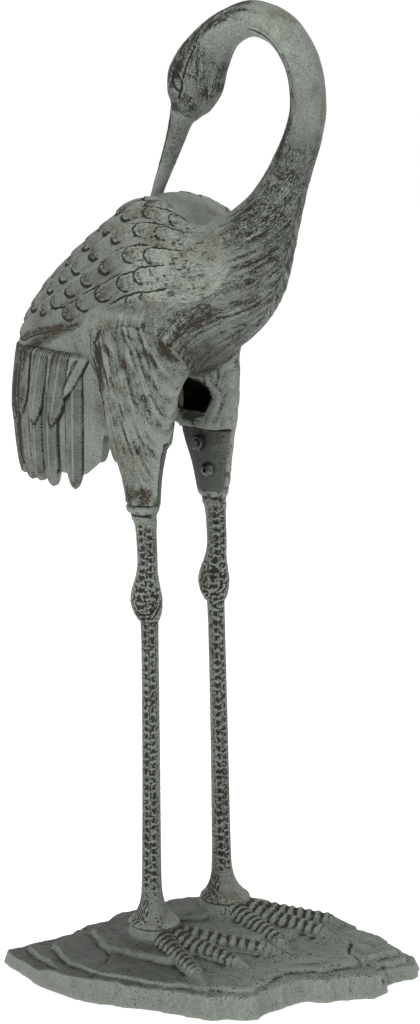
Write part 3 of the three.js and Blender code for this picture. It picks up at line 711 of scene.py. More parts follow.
relief += (0.38 * nape + 0.10 * (1 - on_bill)) * lump * MM - 0.4 * culmen * MM * (0.7 + 0.3 * lump)
relief += 0.25 * throat * ripple(strand * [1 / 0.03, 1 / 0.004, 1.0], 43) * MM
relief += 0.5 * MM * tip_edge * (z_mm > BILL_TIP_Z)
relief += 0.13 * ripple(points / (5 * MM), 44) * MM
stroke = np.maximum.reduce([
    1.0 * nape, 1.0 * smooth_steps(row, 11.8, 14.6, 0.9), 0.6 * throat, 0.75 * on_head, 0.5 * (1 - on_bill),
    0.6 * on_bill * (z_mm > BILL_TIP_Z),
])
stroke *= 1 - 0.85 * smooth_band
blot = smoothstep(ripple(points / (9 * MM), 45), -0.1, 0.6)
streaks = smoothstep(-lump, -0.1, 0.6)
cuts = 0.9 * crease + 0.3 * socket + 0.25 * cheek + 0.7 * culmen + 0.45 * step
chased = 0.65 * behind * (0.4 + 0.6 * streaks) + nape * (0.12 + 0.62 * streaks)
mottled = 0.62 * inner_band * (0.35 + 0.65 * blot) + 0.36 * on_head * (blot + 0.5 * streaks) * (1 - on_bill)
mottled = mottled + 0.3 * smooth_steps(row, 11.8, 14.4, 0.7) * blot
ink = np.clip(cuts + chased + mottled, 0, 1.3) * (1 - 0.9 * smooth_band)
shade_and_tone = 0.18 * smooth_steps(row, 11.5, 15.8, 0.8) - 0.14 * smooth_steps(row, 15.8, 19.2, 0.8)
shade_and_tone = shade_and_tone + 0.12 * on_head + 0.2 * on_bill
points = points + normals_of(points, quads) * relief[:, None]
extra = {"ink": ink, "strand": strand, "stroke": stroke, "shade_and_tone": shade_and_tone}
head = cast_piece("neck_and_head", points, quads, extra)
belongs(head, "body_casting", plumage)

# Wings: two folded wings of overlapping scale feathers with longer flight feathers below, cast in one with
# the body and cut deeper round the tips. Each is made as a closed shell that lies on the trunk.

WING_ROWS = (-0.9, 10.2)
WING_GRID = 0.95 * MM
# Lines of feathers, each at its angle from the middle of the back, and how far its tips are from the rear.
SCALES = {
    21: (73, 98, 125, 149, 173, 203, 235, 262), 37: (60, 84, 108, 134, 160, 192, 220, 248, 276),
    53: (50, 72, 105, 128, 151, 178, 212, 240, 266), 69: (95, 118, 143, 166, 193, 230, 256),
    84: (132, 155, 182, 212, 240), 98: (158, 184, 212, 240),
}
SLIVERS = {5: (52, 84, 118, 152, 188, 222), 13: (100, 138, 170, 206, 240), 29: (212, 246)}
# Flight feathers at the rear: distance of the tip, its angle, its climb in degrees a millimetre, its height.
QUILLS = ((10, 93, 0.15, 1.6), (24, 80, 0.19, 2.8), (38, 66, 0.22, 3.8))


def feather(half, taper, power, length, crown, cut, ink, shade=0.3, lean=0.0, hem=0.0, pecks=0.4, barb=2.0,
            barbs=0.0, slant=0.0):
    """One kind of feather. Its sizes are in millimetres: half its width, the taper of its tip, its length,
    how far it crowns and leans, the cut round it and the pitch of its barbs."""
    sizes = {
        "half": half, "taper": taper, "length": length, "crown": crown, "lean": lean, "cut": cut,
        "barb": barb,
    }
    kind = {key: value * MM for key, value in sizes.items()}
    kind.update(power=power, ink=ink, shade=shade, hem=hem, pecks=pecks, barbs=barbs, slant=slant)
    return kind


SCALE = feather(6.2, 9.5, 1.9, 40, 0.7, 1.0, 1.45, lean=0.9)
SLIVER = feather(5.4, 17, 1.8, 62, 0.5, 0.6, 1.2, lean=0.3)
QUILL = feather(9.4, 17, 1.6, 126, 0.9, 1.0, 1.3, hem=0.9, pecks=0.3, barb=2.4)


def tip_band(along, across, shape):
    """Signed distance from a feather's outline; its tip is at along = 0 and narrows over the taper."""
    end = np.clip(1 - along / shape["taper"], 0, None)
    size = (end ** shape["power"] + np.abs(across / shape["half"]) ** shape["power"]) ** (1 / shape["power"])
    return (size - 1) * min(shape["half"], shape["taper"])


def lay_feather(relief, along, across, shape, height, smudge=0.0):
    """Lay one feather over those already there, with a cut line round its tip."""
    rough = ripple(np.stack(np.broadcast_arrays(along, across), -1) / (1.7 * MM), 66)
    edge = tip_band(along, across, shape) + 0.4 * MM * rough
    reach = smoothstep(along, shape["length"], 0.82 * shape["length"])
    side = np.clip(across / shape["half"], -1, 1)
    past_tip = smoothstep(along, 0.6 * shape["taper"], 1.5 * shape["taper"])
    under = smoothstep(side, 0.0, 0.7) * past_tip * bool(shape["lean"])
    soft = (0.4 + 2.2 * under) * MM
    cover = smoothstep(-edge, -soft, soft) * reach
    worn_in = 1 - smoothstep(along, 0.6 * shape["length"], 0.95 * shape["length"])
    top = height * (1 - 0.9 * np.clip(along, 0, None) / shape["length"]) + shape["crown"] * (1 - side**2)
    top = top - shape["lean"] * side
    relief["height"] += (top - relief["height"]) * cover
    at_tip = smoothstep(along, 0.9 * shape["taper"], 0.2 * shape["taper"])
    line = np.exp(-(((edge - 0.7 * MM) / ((0.8 + 0.6 * at_tip) * MM)) ** 2)) * worn_in * reach
    line = line * (0.8 + 0.2 * at_tip) * (1 - 0.9 * under) * (0.85 + 0.35 * rough)
    relief["height"] -= shape["cut"] * line
    stain = (smudge + 0.3 * (rough > 0.15)) * np.exp(-(((along - 3 * MM) / (5.5 * MM)) ** 2)) * cover
    lower = np.exp(-(((across / shape["half"] - 0.75) / 0.3) ** 2)) * smoothstep(along, 0, 6 * MM)
    stain = np.maximum(stain, shape["hem"] * lower * (0.75 + 0.5 * rough) * cover)
    # Painted shadow that the raised tip casts on the feather beneath it.
    shade = np.exp(-np.clip(edge, 0, None) / (2.6 * MM)) * at_tip * (along > -6 * MM) * (1 - cover)
    shade = shape["shade"] * shade
    relief["ink"] = np.maximum(relief["ink"] * (1 - cover) + stain, np.maximum(shape["ink"] * line, shade))
    relief["brown"] = relief["brown"] * (1 - cover) + 0.9 * np.clip(stain, 0, 1) * cover
    chosen = cover > 0.5
    slant = shape["slant"] * across if shape["slant"] else 0.9 * np.abs(across)
    relief["barb"] = np.where(chosen, (along + slant) / shape["barb"], relief["barb"])
    chased = shape["pecks"] + 0.55 * np.exp(-((along / (11 * MM)) ** 2))
    relief["stroke"] = np.where(chosen, chased, relief["stroke"])
    relief["barbs"] = np.where(chosen, shape["barbs"] * worn_in, relief["barbs"])


def zipped(a, b):
    """Triangles between two rows of point numbers of different counts."""
    faces, i, j = [], 0, 0
    while i < len(a) - 1 or j < len(b) - 1:
        if j == len(b) - 1 or (i < len(a) - 1 and (i + 1) / (len(a) - 1) <= (j + 1) / (len(b) - 1)):
            faces.append((a[i], a[i + 1], b[j]))
            i += 1
        else:
            faces.append((a[i], b[j + 1], b[j]))
            j += 1
    return np.array(faces)


def closed_shell(outer, inner):
    """A shell from two grids of points with the same rows, closed along its edges and at its ends."""
    rows, wide = outer.shape[:2]
    ring = np.concatenate([outer, inner[:, ::-1]], 1)
    count = ring.shape[1]
    i, j = np.meshgrid(np.arange(rows - 1), np.arange(count), indexing="ij")
    k = (j + 1) % count
    corners = [i * count + j, i * count + k, (i + 1) * count + k, (i + 1) * count + j]
    quads = np.stack(corners, -1).reshape(-1, 4)
    last = (rows - 1) * count
    ends = []
    for first, turned in ((0, True), (last, False)):
        cap = zipped(first + np.arange(wide), first + np.arange(count - 1, wide - 1, -1))
        ends.append(cap[:, ::-1] if turned else cap)
    return ring.reshape(-1, 3), quads, np.concatenate(ends)


def facing_out(points, quads, triangles):
    """The same faces, turned if the shape encloses a negative volume."""
    parts = [quads[:, [0, 1, 2]], quads[:, [0, 2, 3]], triangles]
    volume = sum(np.sum(points[f[:, 0]] * np.cross(points[f[:, 1]], points[f[:, 2]])) for f in parts)
    return (quads, triangles) if volume > 0 else (quads[:, ::-1], triangles[:, ::-1])


MEASURES = ("ink", "barb", "barbs", "shade_and_tone", "stroke", "brown")


def plain_relief(shape, height=0.0):
    return {"height": np.full(shape, height), **{key: np.zeros(shape) for key in MEASURES}}


def shell_piece(name, outer, inner, relief, material, contrast=1.0):
    """A closed shell whose outer side carries the measures of its relief, and its inner side none."""
    points, quads, triangles = closed_shell(outer, inner)
    quads, triangles = facing_out(points, quads, triangles)
    bare = np.zeros(inner.shape[:2])
    extra = {key: np.concatenate([relief[key], bare], 1).ravel() for key in MEASURES}
    extra["strand"] = np.concatenate([relief["strand"], np.zeros(inner.shape)], 1).reshape(-1, 3)
    piece = cast_piece(name, points, [quads, triangles], extra, contrast)
    belongs(piece, "body_casting", material)


def wing(side):
    """A wing's grids: lines across the wing run from its upper to its lower edge."""
    fine = np.linspace(*WING_ROWS, 1500)
    steps = np.linalg.norm(np.diff(skin(fine, 50 * DEGREE, 4 * MM), axis=0), axis=1)
    way = np.concatenate([[0], np.cumsum(steps)])
    along = np.linspace(0, way[-1], int(way[-1] / WING_GRID))
    row = np.interp(along, way, fine)
    mantle, shoulder, close = smoothstep(row, 3.6, 8.5), smoothstep(row, 5, 9.6), smoothstep(row, 9, 10.2)
    upper = (2 + 30 * mantle + 22 * close) * DEGREE
    lower = (97 + 24 * shoulder - 18 * close) * DEGREE
    share = np.linspace(0, 1, 168)
    angle = upper[:, None] + (lower - upper)[:, None] * share
    steps = np.linalg.norm(np.diff(skin(row[:, None], side * angle), axis=1), axis=2)
    rate = steps.sum(1) / (lower - upper)
    relief = plain_relief(angle.shape)
    feathers = []
    for shape, tall, table in ((SCALE, 3.3, SCALES), (SLIVER, 2.4, SLIVERS)):
        for degrees, tips in table.items():
            for n, tip in enumerate(tips):
                sway = [2 * chance(degrees, n, side + 5, k) - 1 for k in (1, 2)]
                smudge = 0.75 * max(0.0, float(chance(degrees, n, side + 5, 3)) - 0.45)
                place = tip + 1.5 * sway[0], degrees + 1.2 * sway[1]
                feathers.append((*place, 0.03 * sway[1], shape, tall, smudge))
    feathers += [(*quill[:3], QUILL, quill[3], 0.35) for quill in QUILLS]
    shoulder_fade = smoothstep(along, 200 * MM, 262 * MM)
    fade = 1 - 0.8 * shoulder_fade
    feathers.sort(key=lambda one: one[0] + (0.9 if one[3] is QUILL else 1.3) * one[1])
    for tip, degrees, slope, shape, tall, smudge in feathers:
        near = (along > (tip - 4) * MM) & (along < tip * MM + shape["length"])
        line = (degrees + slope * (along[near] / MM - tip)) * DEGREE
        part = {key: values[near] for key, values in relief.items()}
        faded = {**shape, "cut": shape["cut"] * fade[near, None]}
        from_tip = (along[near] - tip * MM)[:, None]
        from_line = (angle[near] - line[:, None]) * rate[near, None]
        lay_feather(part, from_tip, from_line, faded, tall * MM * fade[near, None], smudge)
        for key, values in part.items():
            relief[key][near] = values
    relief["ink"] *= fade[:, None] ** 0.5
    round_trunk = (angle - 60 * DEGREE) * rate[:, None]
    relief["strand"] = np.stack([along[:, None] + 0 * angle, round_trunk, 0 * angle], -1)
    curls = 0.7 * ripple(relief["strand"][..., :2] * [1 / 0.0075, 1 / 0.0044], 61)
    curls = curls + 0.5 * ripple(relief["strand"][..., :2] * [1 / 0.0034, 1 / 0.0024], 62)
    relief["height"] += (0.15 + 0.5 * shoulder_fade[:, None]) * MM * curls
    relief["ink"] += 0.16 * shoulder_fade[:, None] * smoothstep(-curls, 0.1, 0.6)
    # The shoulder of the wing is painted lighter where it catches the light, as painted light; the lower part
    # of the wing is a little darker.
    low = smoothstep(angle, 58 * DEGREE, 90 * DEGREE) * (1 - shoulder_fade[:, None])
    relief["shade_and_tone"] = 0.13 - 0.5 * shoulder_fade[:, None] + 0.14 * low
    hem = smoothstep(share, 0.88, 0.95) * smoothstep(along, 190 * MM, 110 * MM)[:, None]
    hem_lumps = ripple(relief["strand"][..., :2] * [1 / 0.006, 1 / 0.0018], 65)
    relief["height"] += 0.4 * MM * hem * hem_lumps
    relief["ink"] = np.maximum(relief["ink"], hem * (0.6 + 0.5 * hem_lumps))
    relief["brown"] = np.maximum(relief["brown"], 0.8 * hem)
    relief["stroke"] += (0.5 - relief["stroke"]) * shoulder_fade[:, None]
    flare = 8 * MM * (1 - smoothstep(row, -0.5, 1.4))
    sink = 3.7 * MM * smoothstep(row, 7.5, 10.2)
    edge_fall = 2.2 * MM * (smoothstep(share, 0.94, 1.0) + smoothstep(share, 0.05, 0.0))
    sunk = 3.0 * MM * smoothstep(share, 0.86, 1.0) * smoothstep(along, 125 * MM, 200 * MM)[:, None]
    base = 3.0 * MM - sink[:, None] - edge_fall + flare[:, None] - sunk
    height = relief["height"] * (1 - smoothstep(row, 7.6, 10.0))[:, None] - 0.4 * MM
    outer = skin(row[:, None], side * angle, base + height)
    inner_angle = upper[:, None] + (lower - upper)[:, None] * np.linspace(0.01, 0.99, 12)
    inner = skin(row[:, None], side * inner_angle, -1.5 * MM)
    return outer, inner, relief


for name, side in (("right_wing", -1), ("left_wing", 1)):
    shell_piece(name, *wing(side), plumage)

# Tail: plumes that droop round the rear in two layers, with a plain curtain beside each thigh. It is cast in
# one with the body as a shell 5 mm thick, open below, and its long plumes end in separate tips.

TAIL_GRID = 1.1 * MM
# Plumes of one side from the lowest to the topmost, as root and tip: degrees from straight back, and height.
LONG_PLUMES = tuple(((at, root), (at, tip)) for at, root, tip in (
    (-101.5, 580, 456), (-61, 590, 456), (-35, 590, 456), (-7.5, 590, 455.5), (-85.5, 590, 455),
    (-48, 590, 459), (-21.5, 590, 458), (-74, 590, 457.5),
))
SHORT_PLUMES = (
    ((-108.5, 579.5), (-94.5, 541)), ((-102.5, 586.5), (-88, 533)), ((-94, 592), (-88, 515)),
    ((-59, 592), (-60, 519)), ((-29, 592), (-30, 513)), ((0, 592), (0, 514)), ((-44, 592), (-45, 509)),
    ((-14, 592), (-15, 510)), ((-80, 592), (-73, 511)),
)
CURTAIN = ((-150, 512), (-126, 512), (-123, 508), (-121, 485.5), (-110.5, 472.5), (-104, 470), (0, 470))
BARBED = {"barb": 2.9, "slant": 1.0}
LONG_PLUME = feather(9.6, 22, 1.8, 150, 1.5, 0.3, 0.12, 0.15, pecks=0.3, barbs=0.75, **BARBED)
SHORT_PLUME = feather(10.5, 25, 1.35, 100, 1.2, 0.5, 0.25, 0.2, pecks=0.3, barbs=0.8, **BARBED)
THIN_PLUME = feather(4.6, 22, 1.5, 60, 1.3, 0.5, 0.3, 0.2, pecks=0.2, **BARBED)


def tail():
    """The tail's grids: lines down the tail run from the lower edge up to where it meets the trunk."""
    degrees = np.linspace(-150, 150, int(420 * MM / TAIL_GRID))
    angle = degrees * DEGREE
    top = 594 * MM
    middle = tail_skin(angle, 500 * MM)
    run = np.concatenate([[0], np.cumsum(np.linalg.norm(np.diff(middle, axis=0), axis=1))])
    run = run - np.interp(0, degrees, run)

    def place(end, side):
        return np.array([np.interp(side * end[0], degrees, run), end[1] * MM])

    bottom = np.interp(-np.abs(degrees), *np.array(CURTAIN).T) * MM
    power = LONG_PLUME["power"]
    for _, tip in LONG_PLUMES:
        for side in (1, -1):
            middle, low = place(tip, side)
            off = np.clip(np.abs(run - middle) / LONG_PLUME["half"], 0, 1)
            point = low + LONG_PLUME["taper"] * (1 - (1 - off**power) ** (1 / power))
            bottom = np.minimum(bottom, np.where(off < 1, point, 1.0))
    share = np.linspace(0, 1, 132)
    z = bottom[:, None] + (top - bottom)[:, None] * share
    relief = plain_relief(z.shape, -1.2 * MM)
    for plumes, shape, tall in ((LONG_PLUMES, LONG_PLUME, 0.6), (SHORT_PLUMES, SHORT_PLUME, 2.0)):
        for n, (root, tip) in enumerate(plumes):
            for side in (1, -1) if tip[0] else (1,):
                start, end = place(tip, side), place(root, side)
                way = (end - start) / np.linalg.norm(end - start)
                off, rise = run[:, None] - start[0], z - start[1]
                along, across = off * way[0] + rise * way[1], off * way[1] - rise * way[0]
                kind = THIN_PLUME if root[0] < -100 and shape is SHORT_PLUME else shape
                raised = tall + (1.0 if kind is THIN_PLUME else 0.12 * n)
                lay_feather(relief, along, -side * across, kind, raised * MM)
                if kind is not THIN_PLUME:
                    rachis = np.exp(-((across / (0.9 * MM)) ** 2))
                    rachis = rachis * (along > 8 * MM) * (along < kind["length"])
                    relief["height"] += 0.5 * MM * rachis
                    relief["barbs"] *= 1 - rachis
    rear = smoothstep(np.abs(degrees), 70, 52)[:, None]
    relief["strand"] = np.stack([z, run[:, None] + 0 * z, 0 * z], -1)
    strands = ripple(relief["strand"][..., :2] * [1 / 0.045, 1 / 0.0026], 71)
    relief["height"] += 0.5 * MM * rear * strands
    relief["ink"] = np.maximum(relief["ink"], rear * (0.22 + 0.7 * smoothstep(-strands, -0.1, 0.5)))
    relief["barbs"] *= 1 - rear
    relief["brown"] = 0.35 * rear * smoothstep(-strands, -0.1, 0.5)
    relief["stroke"] += (1.0 - relief["stroke"]) * rear
    relief["shade_and_tone"] = 0.12 + 0 * z
    # Painted shade along the top of the tail, where it tucks under the wings.
    relief["ink"] = relief["ink"] + 0.35 * smoothstep(z, 560 * MM, 588 * MM)
    tuck = 26 * MM * smoothstep(z, 580 * MM, 596 * MM)
    roll = 1.6 * MM * (1 - smoothstep(z - bottom[:, None], 0, 3 * MM))
    outer = tail_skin(angle[:, None], z, relief["height"] - tuck - roll)
    inner_z = bottom[:, None] + (top - bottom)[:, None] * np.linspace(0.004, 1, 16)
    depth = np.interp(inner_z, MM * np.array([440, 560, 596]), MM * np.array([-5, -5, -28]))
    inner = tail_skin(angle[:, None], inner_z, depth)
    return outer, inner, relief


shell_piece("tail_plumes", *tail(), plumage, 0.4)

# Legs: two solid castings, each bolted inside a thigh by a flat tongue, with scutes down the outer front, a
# knobbly joint and a flared foot that stands on the base.

# Height, x, half length and half width, upwards from the rim of the foot; y is the same for all.
LEG = MM * np.array([
    [48.4, 1, 24.5, 24.5], [51, 0.5, 23.6, 23.6], [56, 0, 18.5, 18.5], [63, -1, 14, 14], [72, -1.5, 11, 11],
    [86, -2, 9.6, 9.6], [120, -2, 9, 9], [220, -2, 8.4, 8.4], [332, -3, 8.2, 8.2], [344, -4, 10.2, 9.6],
    [353, -5.5, 14, 12.6], [364, -7, 15.6, 14], [375, -7, 13.8, 12.4], [388, -6, 10.6, 10],
    [402, -5.5, 9.5, 9.2], [430, -7, 10, 9.6], [442, -8.5, 12.4, 11.8], [450, -9.5, 15.8, 14.6],
    [454.6, -10, 16.2, 14.8],
])
FOOT_Y = 48 * MM
# Steps aside along x, by height.
STANCE = {"right": ((0, 600), (0, 0)), "left": ((48, 80, 345, 372, 400, 600), (4.5, 3, -3.6, -2, 0, 0))}
# Columns of scutes: angle from straight ahead, half angle, depth, and how dark they are.
SCUTES = {
    "right": ((-79, 25, 1.0, 1.0), (-31, 22, 0.9, 0.9)),
    "left": ((-53, 27, 1.0, 1.0), (-5, 22, 0.6, 0.7)),
}
# Heights in millimetres of the foot's rim and the knee, and the angle and strength of the folds on each knee.
RIM, KNEE = 48.4, 362
KNEE_FOLDS = {"right": (-60, 1.0), "left": (-45, 0.35)}
# The right leg is a little duller than the left.
LEG_TONE = {"left": 0.07, "right": 0.16}
# The tongue, tucked inside the thigh, is darkened as painted shade.
TONGUE_SHADE = 0.62
TONGUE_FOOT = 447 * MM
TONGUE = {"inner": 33 * MM, "rear_top": -37 * MM, "rear_low": -25 * MM}


def merged(*parts):
    """One set of points, quads and triangles from several."""
    first, points, quads, triangles = 0, [], [], []
    for p, q, t in parts:
        points.append(p)
        quads.append(q + first)
        triangles.append(t + first)
        first += len(p)
    return np.concatenate(points), np.concatenate(quads), np.concatenate(triangles)


def shaft(side):
    """A leg from the foot to the thigh, with its scutes; also how dark each point is."""
    heights = np.arange(RIM, 454.6, 0.8) * MM
    fine_rows = smooth_table(LEG, np.linspace(0, len(LEG) - 1, 900))
    table = np.stack([np.interp(heights, fine_rows[:, 0], fine_rows[:, k]) for k in range(4)], -1)
    turn = np.linspace(-180, 180, 76, endpoint=False)
    z, x, long, wide = (table[:, k, None] for k in range(4))
    x = x + MM * np.interp(heights / MM, *STANCE[side])[:, None]
    bearing = turn * DEGREE
    height_mm = z / MM
    relief, ink = np.zeros((len(heights), len(turn))), np.zeros((len(heights), len(turn)))
    on_shaft = smoothstep(height_mm, 62, 96) * smoothstep(height_mm, 446, 428)
    spots = np.stack(np.broadcast_arrays(height_mm, wide / MM * bearing), -1)
    warp = ripple(spots / 3.4, 11), ripple(spots / 3.4, 12)
    knee = np.exp(-(((height_mm - KNEE) / 17) ** 4))
    for n, (middle, half, deep, dark) in enumerate(SCUTES[side]):
        off = (turn - middle) / half + 0.3 * warp[0]
        step = height_mm / 7.6 + 0.45 * n + 0.14 * warp[1] + 0.3 * ripple(spots / [26, 1e6], 3 + n)
        cell = step - np.floor(step) - 0.5
        lively = 0.45 + 0.55 * chance(np.floor(step), n, side == "left")
        pit = np.exp(-((off / 0.62) ** 2) - (cell / 0.27) ** 2)
        rim = np.exp(-((off / 1.0) ** 4)) * smoothstep(np.abs(cell), 0.3, 0.48)
        relief += on_shaft * (0.75 * rim - 1.35 * deep * pit * lively) * MM
        ink = np.maximum(ink, on_shaft * dark * pit * (0.4 + 0.6 * lively))
        border = np.exp(-((np.abs(off) - 1.12) / 0.22) ** 2)
        relief -= on_shaft * 0.3 * border * MM
        ink = np.maximum(ink, on_shaft * dark * border * smoothstep(warp[1], -0.1, 0.6) * 0.45)
    fold_angle, strength = KNEE_FOLDS[side]
    fold = np.hypot(wide / MM * (bearing - fold_angle * DEGREE), height_mm - KNEE - 2) + 1.2 * warp[0]
    folds = strength * knee * smoothstep(fold, 6, 9) * smoothstep(fold, 20, 15)
    folds = folds * smoothstep(height_mm, 368, 360)
    relief += folds * 0.8 * np.sin(fold * 2 * math.pi / 4.2) * MM
    ink = np.maximum(ink, folds * smoothstep(-np.sin(fold * 2 * math.pi / 4.2), 0.0, 0.9) * 0.8)
    coarse, fine_grain = ripple(spots / 2.7, 21), ripple(spots / 1.5, 22)
    facing = 0.25 + 0.75 * smoothstep(np.cos(bearing - (-50 * DEGREE)), 0.1, 0.75)
    rough = (0.3 + 0.5 * knee) * facing * on_shaft
    relief += rough * (coarse + 0.5 * fine_grain) * MM + 0.1 * fine_grain * MM * smoothstep(height_mm, 48, 56)
    ink = np.maximum(ink, (0.3 + 0.45 * knee) * facing * on_shaft * smoothstep(-coarse, 0.15, 0.7))
    foot = smoothstep(height_mm, 92, 60)
    hair = np.sin(turn * 0.55 + 3.5 * ripple(spots / [9, 5], 8))
    left_part = smoothstep(np.cos(bearing + 118 * DEGREE), 0.3, 0.8) * smoothstep(coarse, -0.7, 0.1)
    relief -= foot * left_part * 0.6 * (0.5 + 0.5 * hair) * MM
    ink = np.maximum(ink, foot * left_part * (0.42 + 0.4 * hair))
    collar = smooth_steps(height_mm, 438, 455, 3)
    coarse_patch = ripple(spots / 4.2, 25)
    relief += collar * 0.55 * ripple(spots / [4.5, 9], 23) * MM
    near_left = smoothstep(np.cos(bearing + 105 * DEGREE), -0.1, 0.7) * (1.0 if side == "right" else 0.25)
    line = np.exp(-(((height_mm - 446.2 - 1.2 * ripple(spots / [1e6, 7], 24)) / 1.0) ** 2)) * near_left
    relief += near_left * 1.2 * MM * smooth_steps(height_mm, 447, 453, 1.0) - 0.9 * MM * line
    relief -= (1 - near_left) * 1.3 * MM * smooth_steps(height_mm, 441, 456, 3)
    ink = np.maximum(ink, 0.6 * line + 0.7 * collar * smoothstep(coarse_patch, 0.0, 0.5))
    if side == "left":
        flap = np.exp(-(((turn + 8 + 1.2 * (height_mm - 440)) / 24) ** 2))
        flap = flap * smooth_steps(height_mm, 437, 449, 2.5)
        relief += flap * (2.0 + 1.2 * coarse) * MM
        ink = np.maximum(ink, 0.6 * flap * smoothstep(-coarse, -0.2, 0.5))
    ink = np.maximum(ink, 0.9 * np.exp(-(((height_mm - RIM) / 1.3) ** 2)))
    relief -= 0.5 * MM * smoothstep(height_mm, RIM + 1.2, RIM)
    y = (FOOT_Y if side == "left" else -FOOT_Y) + (wide + relief) * np.sin(bearing)
    rings = np.stack(np.broadcast_arrays(x + (long + relief) * np.cos(bearing), y, z), -1)
    brown = foot * left_part * (0.75 if side == "left" else 0.3)
    return rings, 0.95 * ink + 0.15 * on_shaft * facing + 0.11, brown


def tongue(side):
    """The flat tongue at the top of a leg, with holes for its bolts. It is drawn on the left."""
    space = lattice((-60 * MM, 28 * MM, 442 * MM), (30 * MM, 50 * MM, 516 * MM), 1.15 * MM, 8 * MM)
    x, y, z = cells(space)
    rows = smooth_table(THIGH, np.linspace(0, len(THIGH) - 1, 40))
    rows = np.concatenate([rows, [[TONGUE_FOOT, -10 * MM, 48 * MM, 14.4 * MM, 13 * MM]]])
    field = depth_field(space, *loft(level_rings(rows, 64)))
    rear = np.interp(z, [TONGUE_FOOT, TONGUE_TOP], [TONGUE["rear_low"], TONGUE["rear_top"]])
    flat = np.maximum(TONGUE["inner"] - y, y - PARTING)
    high = np.maximum(TONGUE_FOOT - z, z - TONGUE_TOP)
    room = np.maximum(flat, np.maximum(high, rear - x))
    field = sharpest(field, room.astype(np.float32), 2.2 * MM)
    for px, pz in BOLTS[side].values():
        field = np.maximum(field, BOLT_HOLE - np.hypot(x - px, z - pz))
    points, quads = skin_of(space, field)
    if side == "right":
        points, quads = points * [1, -1, 1], quads[:, ::-1]
    return points, quads


shin = casting_material("scaled casting", 0.9, 1.0)
for side in ("left", "right"):
    rings, ink, brown = shaft(side)
    points, quads, triangles = loft(rings)
    quads, triangles = facing_out(points, quads, triangles)
    top, top_quads = tongue(side)
    # A dark ring round each bolt on the tongue is a painted shadow of the nut and the screw head.
    from_bolts = [np.hypot(top[:, 0] - px, top[:, 2] - pz) for px, pz in BOLTS[side].values()]
    around = np.exp(-(((np.minimum(*from_bolts) - 6.3 * MM) / (1.1 * MM)) ** 2))
    points, quads, triangles = merged((points, quads, triangles), (top, top_quads, np.zeros((0, 3), int)))
    extra = {
        "ink": np.concatenate([ink.ravel(), np.zeros(2), 0.1 + 0.7 * around]),
        "shade_and_tone": np.concatenate([np.full(ink.size + 2, LEG_TONE[side]), np.full(len(top), TONGUE_SHADE)]),
        "brown": np.concatenate([brown.ravel(), np.zeros(2 + len(top))]),
        "pecks": np.full(len(points), 0.5),
    }
    leg = cast_piece(f"{side}_leg_casting", points, [quads, triangles], extra)
    belongs(leg, f"{side}_leg", shin)

# Fasteners: on each tongue a hex nut on a threaded stud, and below it a round-headed screw with a hexagonal
# socket. They are plated steel, screwed from inside into the body's half of the thigh.

# Radii and heights of the two kinds, the pitch of their threads, and how deep they go.
BOLT = {
    "Shank": 3.9 * MM, "Nut": 6.5 * MM, "Nut high": 6 * MM, "Button": 7 * MM, "Button high": 4 * MM,
    "Socket": 2.6 * MM, "Pitch": 1.25 * MM, "Depth": 24 * MM,
}
THREAD = 0.45 * MM


class GeometryTree:
    """A Geometry Nodes tree with named inputs, and short ways to add its nodes."""

    def __init__(self, name, inputs):
        self.tree = bpy.data.node_groups.new(name, "GeometryNodeTree")
        kinds = {"Place": "Vector", "Turn": "Vector", **dict.fromkeys(inputs, "Float")}
        kinds["Material"] = "Material"
        for key, kind in kinds.items():
            self.tree.interface.new_socket(key, in_out="INPUT", socket_type="NodeSocket" + kind)
        self.tree.interface.new_socket("Geometry", in_out="OUTPUT", socket_type="NodeSocketGeometry")
        self.given = self.tree.nodes.new("NodeGroupInput").outputs

    def add(self, kind, output=0, settings=None, **sockets):
        node = self.tree.nodes.new(kind)
        for key, value in (settings or {}).items():
            setattr(node, key, value)
        for key, value in sockets.items():
            feed(self.tree, node.inputs[key.replace("_", " ")], value)
        return node.outputs[output]

    def sum(self, a, b, times=1.0):
        return maths(self.tree, "MULTIPLY_ADD", b, times, a)

    def times(self, a, b):
        return maths(self.tree, "MULTIPLY", a, b)

    def vector(self, **parts):
        return self.add("ShaderNodeCombineXYZ", **parts)

    def rod(self, radius, low, high, sides=32):
        """A round bar or prism along z between two heights."""
        depth = maths(self.tree, "SUBTRACT", high, low)
        middle = self.times(maths(self.tree, "ADD", high, low), 0.5)
        bar = self.add("GeometryNodeMeshCylinder", Vertices=sides, Radius=radius, Depth=depth)
        return self.add("GeometryNodeTransform", Geometry=bar, Translation=self.vector(Z=middle))

    def cut(self, operation, first, second):
        node = self.tree.nodes.new("GeometryNodeMeshBoolean")
        node.operation = operation
        self.tree.links.new(first, node.inputs["Mesh 1" if operation == "DIFFERENCE" else "Mesh 2"])
        self.tree.links.new(second, node.inputs["Mesh 2"])
        return node.outputs["Mesh"]

    def thread(self, shank, pitch, start, count):
        """A stack of flat rings, each half a pitch high, that shows as a thread."""
        ridge = self.rod(shank, self.times(pitch, -0.26), self.times(pitch, 0.26))
        line = self.add("GeometryNodeMeshLine", Count=count, Start_Location=self.vector(Z=start),
                        Offset=self.vector(Z=self.times(pitch, -1.0)))
        return self.add("GeometryNodeInstanceOnPoints", Points=line, Instance=ridge)

    def finish(self, parts):
        join = self.tree.nodes.new("GeometryNodeJoinGeometry")
        for part in parts:
            self.tree.links.new(part, join.inputs[0])
        turned = self.add("GeometryNodeTransform", Geometry=join.outputs[0], Rotation=self.given["Turn"],
                          Translation=self.given["Place"])
        real = self.add("GeometryNodeRealizeInstances", Geometry=turned)
        done = self.add("GeometryNodeSetMaterial", Geometry=real, Material=self.given["Material"])
        out = self.tree.nodes.new("NodeGroupOutput")
        self.tree.links.new(done, out.inputs[0])
        return self.tree


